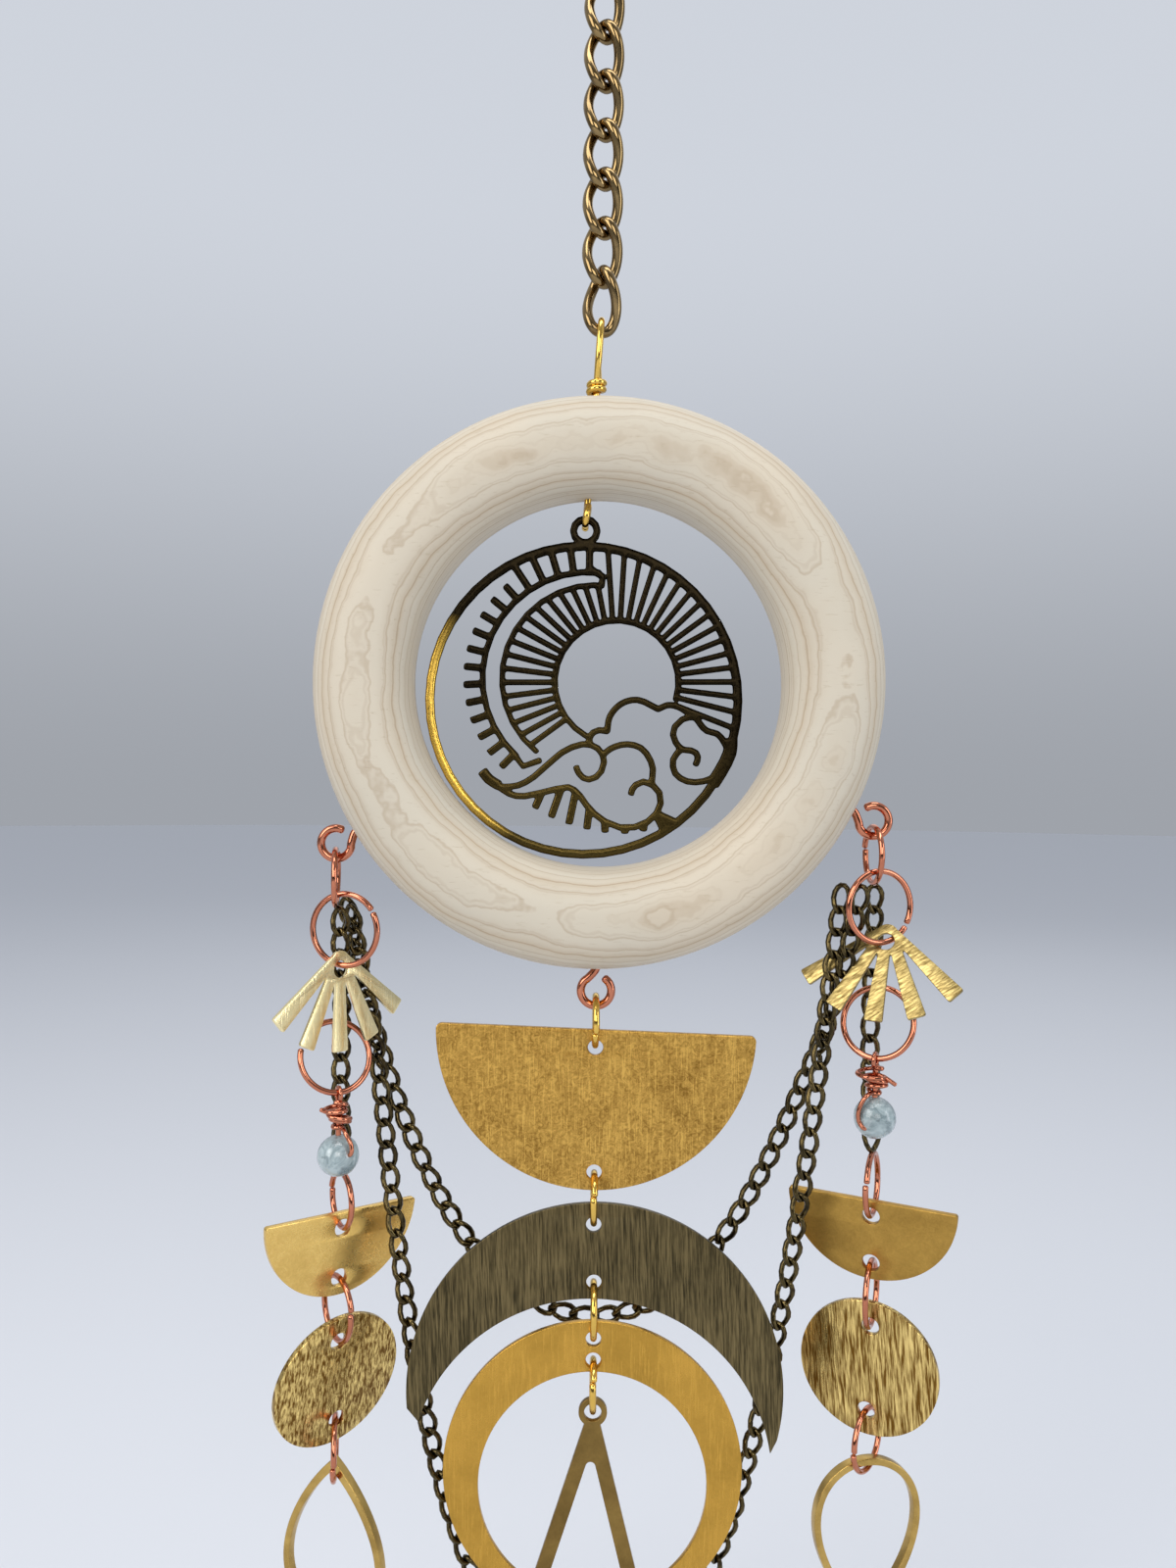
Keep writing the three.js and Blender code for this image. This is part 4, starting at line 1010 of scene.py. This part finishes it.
DROP_HALF, DROP_TALL, DROP_WALL, DROP_POINT, DROP_DEEP, DROP_EDGE = 7.15, 21.0, 0.85, 1.5, 1.3, 0.1
for node, hang, point_up, yaw in (("left_teardrop", 2.55, True, -20), ("right_teardrop", 1.595, False, 12)):
    outer = drop_outline(DROP_HALF, hang, hang - DROP_TALL)
    inner = drop_outline(DROP_HALF - DROP_WALL, hang - DROP_POINT, hang - DROP_TALL + DROP_WALL)
    if not point_up:
        outer, inner = (outline * (-1, -1) + (0, 2 * hang - DROP_TALL) for outline in (outer, inner))
    stamped_piece(node, [outer, inner], DROP_DEEP, "frame_brass", DROP_EDGE, yaw=yaw)
print("teardrops: 2")

# %% [markdown]
# ## Sun and moon disc
# This charm is cut right through by etching, which leaves small round corners everywhere. Rounding hundreds
# of corners one by one would be long work. Remaking the surface as a fine even net of cells, and relaxing it
# a little, rounds every corner and edge at once by about the size of a cell.

# %% Sun and moon disc
CELL, GROW = 0.16, 0.10


def etched(node):
    """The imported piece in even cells, relaxed, then grown by what the relaxing took off."""
    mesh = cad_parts[node].data.copy()
    work = bmesh.new()
    work.from_mesh(mesh)
    bmesh.ops.remove_doubles(work, verts=work.verts, dist=1e-6)
    work.to_mesh(mesh)
    work.free()
    piece = bpy.data.objects.new("shown_" + node, mesh)
    bpy.context.collection.objects.link(piece)
    remake = piece.modifiers.new("even cells", "REMESH")
    remake.mode = "VOXEL"
    remake.voxel_size = CELL * MM
    remake.use_smooth_shade = True
    relax = piece.modifiers.new("round the corners", "SMOOTH")
    relax.factor = 0.5
    relax.iterations = 3
    bpy.context.view_layer.update()
    final = bpy.data.meshes.new_from_object(piece.evaluated_get(bpy.context.evaluated_depsgraph_get()))
    piece.modifiers.clear()
    piece.data = final
    points, normals = np.empty(len(final.vertices) * 3), np.empty(len(final.vertices) * 3)
    final.vertices.foreach_get("co", points)
    final.vertices.foreach_get("normal", normals)
    final.vertices.foreach_set("co", points + normals * GROW * MM)
    final.polygons.foreach_set("use_smooth", np.ones(len(final.polygons), bool))
    return dress(piece, "pendant", node)


pendant = etched("sun_moon_disc")
print("sun and moon disc faces:", len(pendant.data.polygons))

# %% [markdown]
# ## Beads and their wire
# Each bead hangs on thin copper wire that was wound by hand: a loop round the ring above, a few untidy turns,
# then one leg that runs down over the bead and into its hole. The turns are a helix whose radius and height
# wander, and which swings out to one side where the real wire makes a stray loop.

# %% Bead wires
THIN_WIRE, BEAD_RADIUS = 0.28, 2.53
BEADS = {
    # ring yaw and pitch, bead drop, where the first stray loop points in degrees, stray loops (turn, reach),
    # leg over the bead, loose tail
    "left": ((30, -20), 7.7, 200, [(0.9, 1.1), (2.2, 1.0), (3.3, 0.7)],
             [(1.2, -1.5, 3.0), (1.95, -1.9, 1.7), (1.75, -1.75, 0.6)],
             [(-1.0, -0.6, -2.3), (-2.0, -0.9, -1.9)]),
    "right": ((-28, -16), 7.2, 185, [(0.6, 1.5), (1.8, 0.9), (2.9, 0.8)],
              [(-1.3, -1.4, 3.0), (-2.25, -1.6, 1.5), (-2.3, -1.5, 0.0), (-1.5, -1.6, -0.9)],
              [(1.1, -0.6, -2.2), (2.3, -0.8, -3.0)]),
}


def bead_foot(side, yaw, pitch):
    """The lowest point of the ring that the bead hangs from."""
    radius = COPPER_RINGS[f"{side}_lower_ring"][0]
    return centre(f"{side}_lower_ring") + turn_matrix(yaw, pitch) @ np.array((0, 0, -radius))


def bead_wire(turn, drop, points_to, strays, leg, tail, turns=4.3):
    """Three wires. The main one is a loop round the ring, a helix of the given turns whose radius grows by
    reach exp(-((t - turn) 2.6)^2) at each stray loop, and the leg over the bead. The others are the loose
    tail, and a straight core inside the turns."""
    yaw = math.radians(turn[0])
    a = np.radians(np.linspace(-70, 250, 26))
    sideways = 0.8 * np.cos(a)
    loop = np.stack([-np.sin(yaw) * sideways, np.cos(yaw) * sideways, -0.25 + 0.85 * np.sin(a)], -1)
    t = np.linspace(0, turns, 90)
    reach = 0.66 + 0.10 * np.sin(5.1 * t + turn[0])
    for at, far in strays:
        reach = reach + far * np.exp(-(((t - at) * 2.6) ** 2))
    angle = 2 * np.pi * (t - strays[0][0]) + math.radians(points_to)
    height = -1.35 - 2.9 * t / turns + 0.22 * np.sin(4.3 * t + 1.0)
    wound = np.stack([reach * np.cos(angle), 0.8 * reach * np.sin(angle), height], -1)
    middle = np.array((0, 0, -drop))
    main = smooth_curve(np.vstack([loop[::3], wound[::3], np.array(leg) + middle, middle + (0, 0, 0.2)]), 420)
    loose = smooth_curve(np.vstack([(0.35, -0.4, -1.9), tail]), 24)
    core = smooth_curve([(0, 0, -1.0), (0.1, 0, -2.5), (0, 0, -4.0), (0, 0, -drop + 2.0)], 20)
    return joined([wire(main, THIN_WIRE, 8), wire(loose, THIN_WIRE, 8), wire(core, THIN_WIRE * 1.3, 8)])


for side, (turn, *values) in BEADS.items():
    points, faces = bead_wire(turn, *values)
    finished_piece(f"{side}_bead_wire", points + bead_foot(side, *turn), faces, "copper")
print("bead wires:", len(BEADS))


# %% Beads
def bead(seed, rows=40, columns=64):
    """A ball whose radius wanders by two hundredths, with both poles closed."""
    v = np.linspace(0.06, np.pi - 0.06, rows)[:, None]
    u = np.linspace(0, 2 * np.pi, columns, endpoint=False)[None, :]
    wander = 1 + 0.012 * np.sin(2 * u + seed) * np.sin(v) ** 2 + 0.010 * np.sin(3 * v + seed) * np.cos(u)
    points = np.stack([np.sin(v) * np.cos(u), np.sin(v) * np.sin(u), np.cos(v) + 0 * u], -1)
    points = points * (BEAD_RADIUS * wander)[:, :, None]
    faces = [face[::-1] for face in grid_faces(rows, columns, False)]
    last = (rows - 1) * columns
    faces += [tuple(range(columns)), tuple(range(last, last + columns))[::-1]]
    return points.reshape(-1, 3), faces


for seed, side in enumerate(BEADS):
    points, faces = bead(seed * 2.1)
    finished_piece(f"{side}_bead", points + centre(f"{side}_bead"), faces, "stone")
print("beads:", len(BEADS))

# %% [markdown]
# ## Fine chains
# The chains between the sides hang under their own weight, so each follows a catenary, a (cosh(x / a) - 1),
# and a short lead up to its ring. The links are placed by arc length, one inner link length apart, with their
# length along the path. Every link is the same small mesh, tipped a few degrees one way or the other.

# %% Fine chain links
FINE_WIDTH, FINE_INNER, FINE_WIRE = 2.55, 2.72, 0.34
LOOK_AHEAD = 0.6  # how far before and behind a link its direction is taken
LINK_TIP = 7  # degrees, one standard deviation


def chain(path, seed):
    """Links along a path, each with its width across the path and across the line of sight."""
    rng = np.random.default_rng(seed)
    path = np.asarray(path, float)
    travelled = np.concatenate([[0], np.cumsum(np.linalg.norm(np.diff(path, axis=0), axis=1))])
    count = int(travelled[-1] // FINE_INNER)
    spots = (np.arange(count) + 0.5) * travelled[-1] / count

    def at(distance):
        return np.stack([np.interp(distance, travelled, path[:, k]) for k in range(3)], -1)

    along = unit(at(spots + LOOK_AHEAD) - at(spots - LOOK_AHEAD))
    wide = unit(np.cross(along, (0.0, 1.0, 0.0)))
    tip = np.radians(rng.normal(0, LINK_TIP, count))[:, None]
    wide, deep = spun(wide, np.cross(along, wide), tip)
    points, faces = curb_link(FINE_WIDTH, FINE_INNER, FINE_WIRE, steps=14, sides=6)
    turned = np.stack([wide, deep, along], 1)
    placed = at(spots)[:, None] + points @ turned
    starts = (np.arange(count) * len(points))[:, None, None]
    all_faces = (np.array(faces)[None] + starts).reshape(-1, 4)
    return placed.reshape(-1, 3), [tuple(face) for face in all_faces.tolist()], count


# %% Swag chains
SWAGS = {
    # a, lowest height below the wood ring's middle, half span, depths left, middle and right, hold, leads
    "inner_swag_chain": (14.6, -79.9, 29.7, (5.1, 4.9, -0.15), 12, (0.6, 3.4, -3.2), (-1.9, -2.55, -4.0)),
    "outer_swag_chain": (9.4, -124.6, 27.2, (3.9, 1.7, -0.6), 12, (1.4, 2.3, -4.0), (-3.9, -0.9, -4.0)),
}


def swag_path(a, low, span, depths, hold, left_lead, right_lead):
    """The catenary, its depth easing from the middle's to each end's, and a lead to the ring on each side."""
    x = np.linspace(-span, span, 81)
    ease = (1 - np.abs(x / span) ** hold) ** 2
    end = np.where(x < 0, depths[0], depths[2])
    y = end + (depths[1] - end) * ease
    hang = np.stack([x, y, RING[2] + low + a * (np.cosh(x / a) - 1)], -1)
    left = centre("left_upper_jump_ring") * (1, 0, 1) + left_lead
    right = centre("right_upper_jump_ring") * (1, 0, 1) + right_lead
    lead_in = smooth_curve([left, hang[0], hang[4]], 30)[:15]
    lead_out = smooth_curve([hang[-5], hang[-1], right], 30)[15:]
    return np.vstack([lead_in, hang, lead_out])


for seed, (node, values) in enumerate(SWAGS.items()):
    points, faces, count = chain(swag_path(*values), seed + 5)
    finished_piece(node, points, faces, "fine_chain")
    print(node, "links:", count)

# %% Drop chains
DROPS = {
    "left": [(-31.6, 0.5, -28.3), (-31.8, 1.9, -36), (-31.9, 3.45, -42), (-31.9, 3.1, -50)],
    "right": [(34.4, 0.9, -25.0), (34.6, 2.1, -32), (34.6, 3.0, -37.5), (34.4, 2.7, -46)],
}
DROP_GAP = 0.3
for seed, (side, route) in enumerate(DROPS.items()):
    radius = COPPER_RINGS[f"{side}_jump_ring_a"][0]
    end = centre(f"{side}_jump_ring_a") + (0, 0, radius + COPPER_WIRE + DROP_GAP)
    path = smooth_curve(np.vstack([np.array(route) + (0, 0, RING[2]), end]), 120)
    points, faces, count = chain(path, seed + 9)
    finished_piece(f"{side}_drop_chain", points, faces, "fine_chain")
    print(side, "drop chain links:", count)

# %% [markdown]
# ## Check
# Any imported node that has no finished piece is listed, and the triangles are counted.

# %% Check and finish
bare = [name for name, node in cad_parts.items() if not node.hide_render]
print("packed nodes with no finished piece:", bare)
print("triangles:", sum(len(p.vertices) - 2 for piece in SHOWN for p in piece.data.polygons))
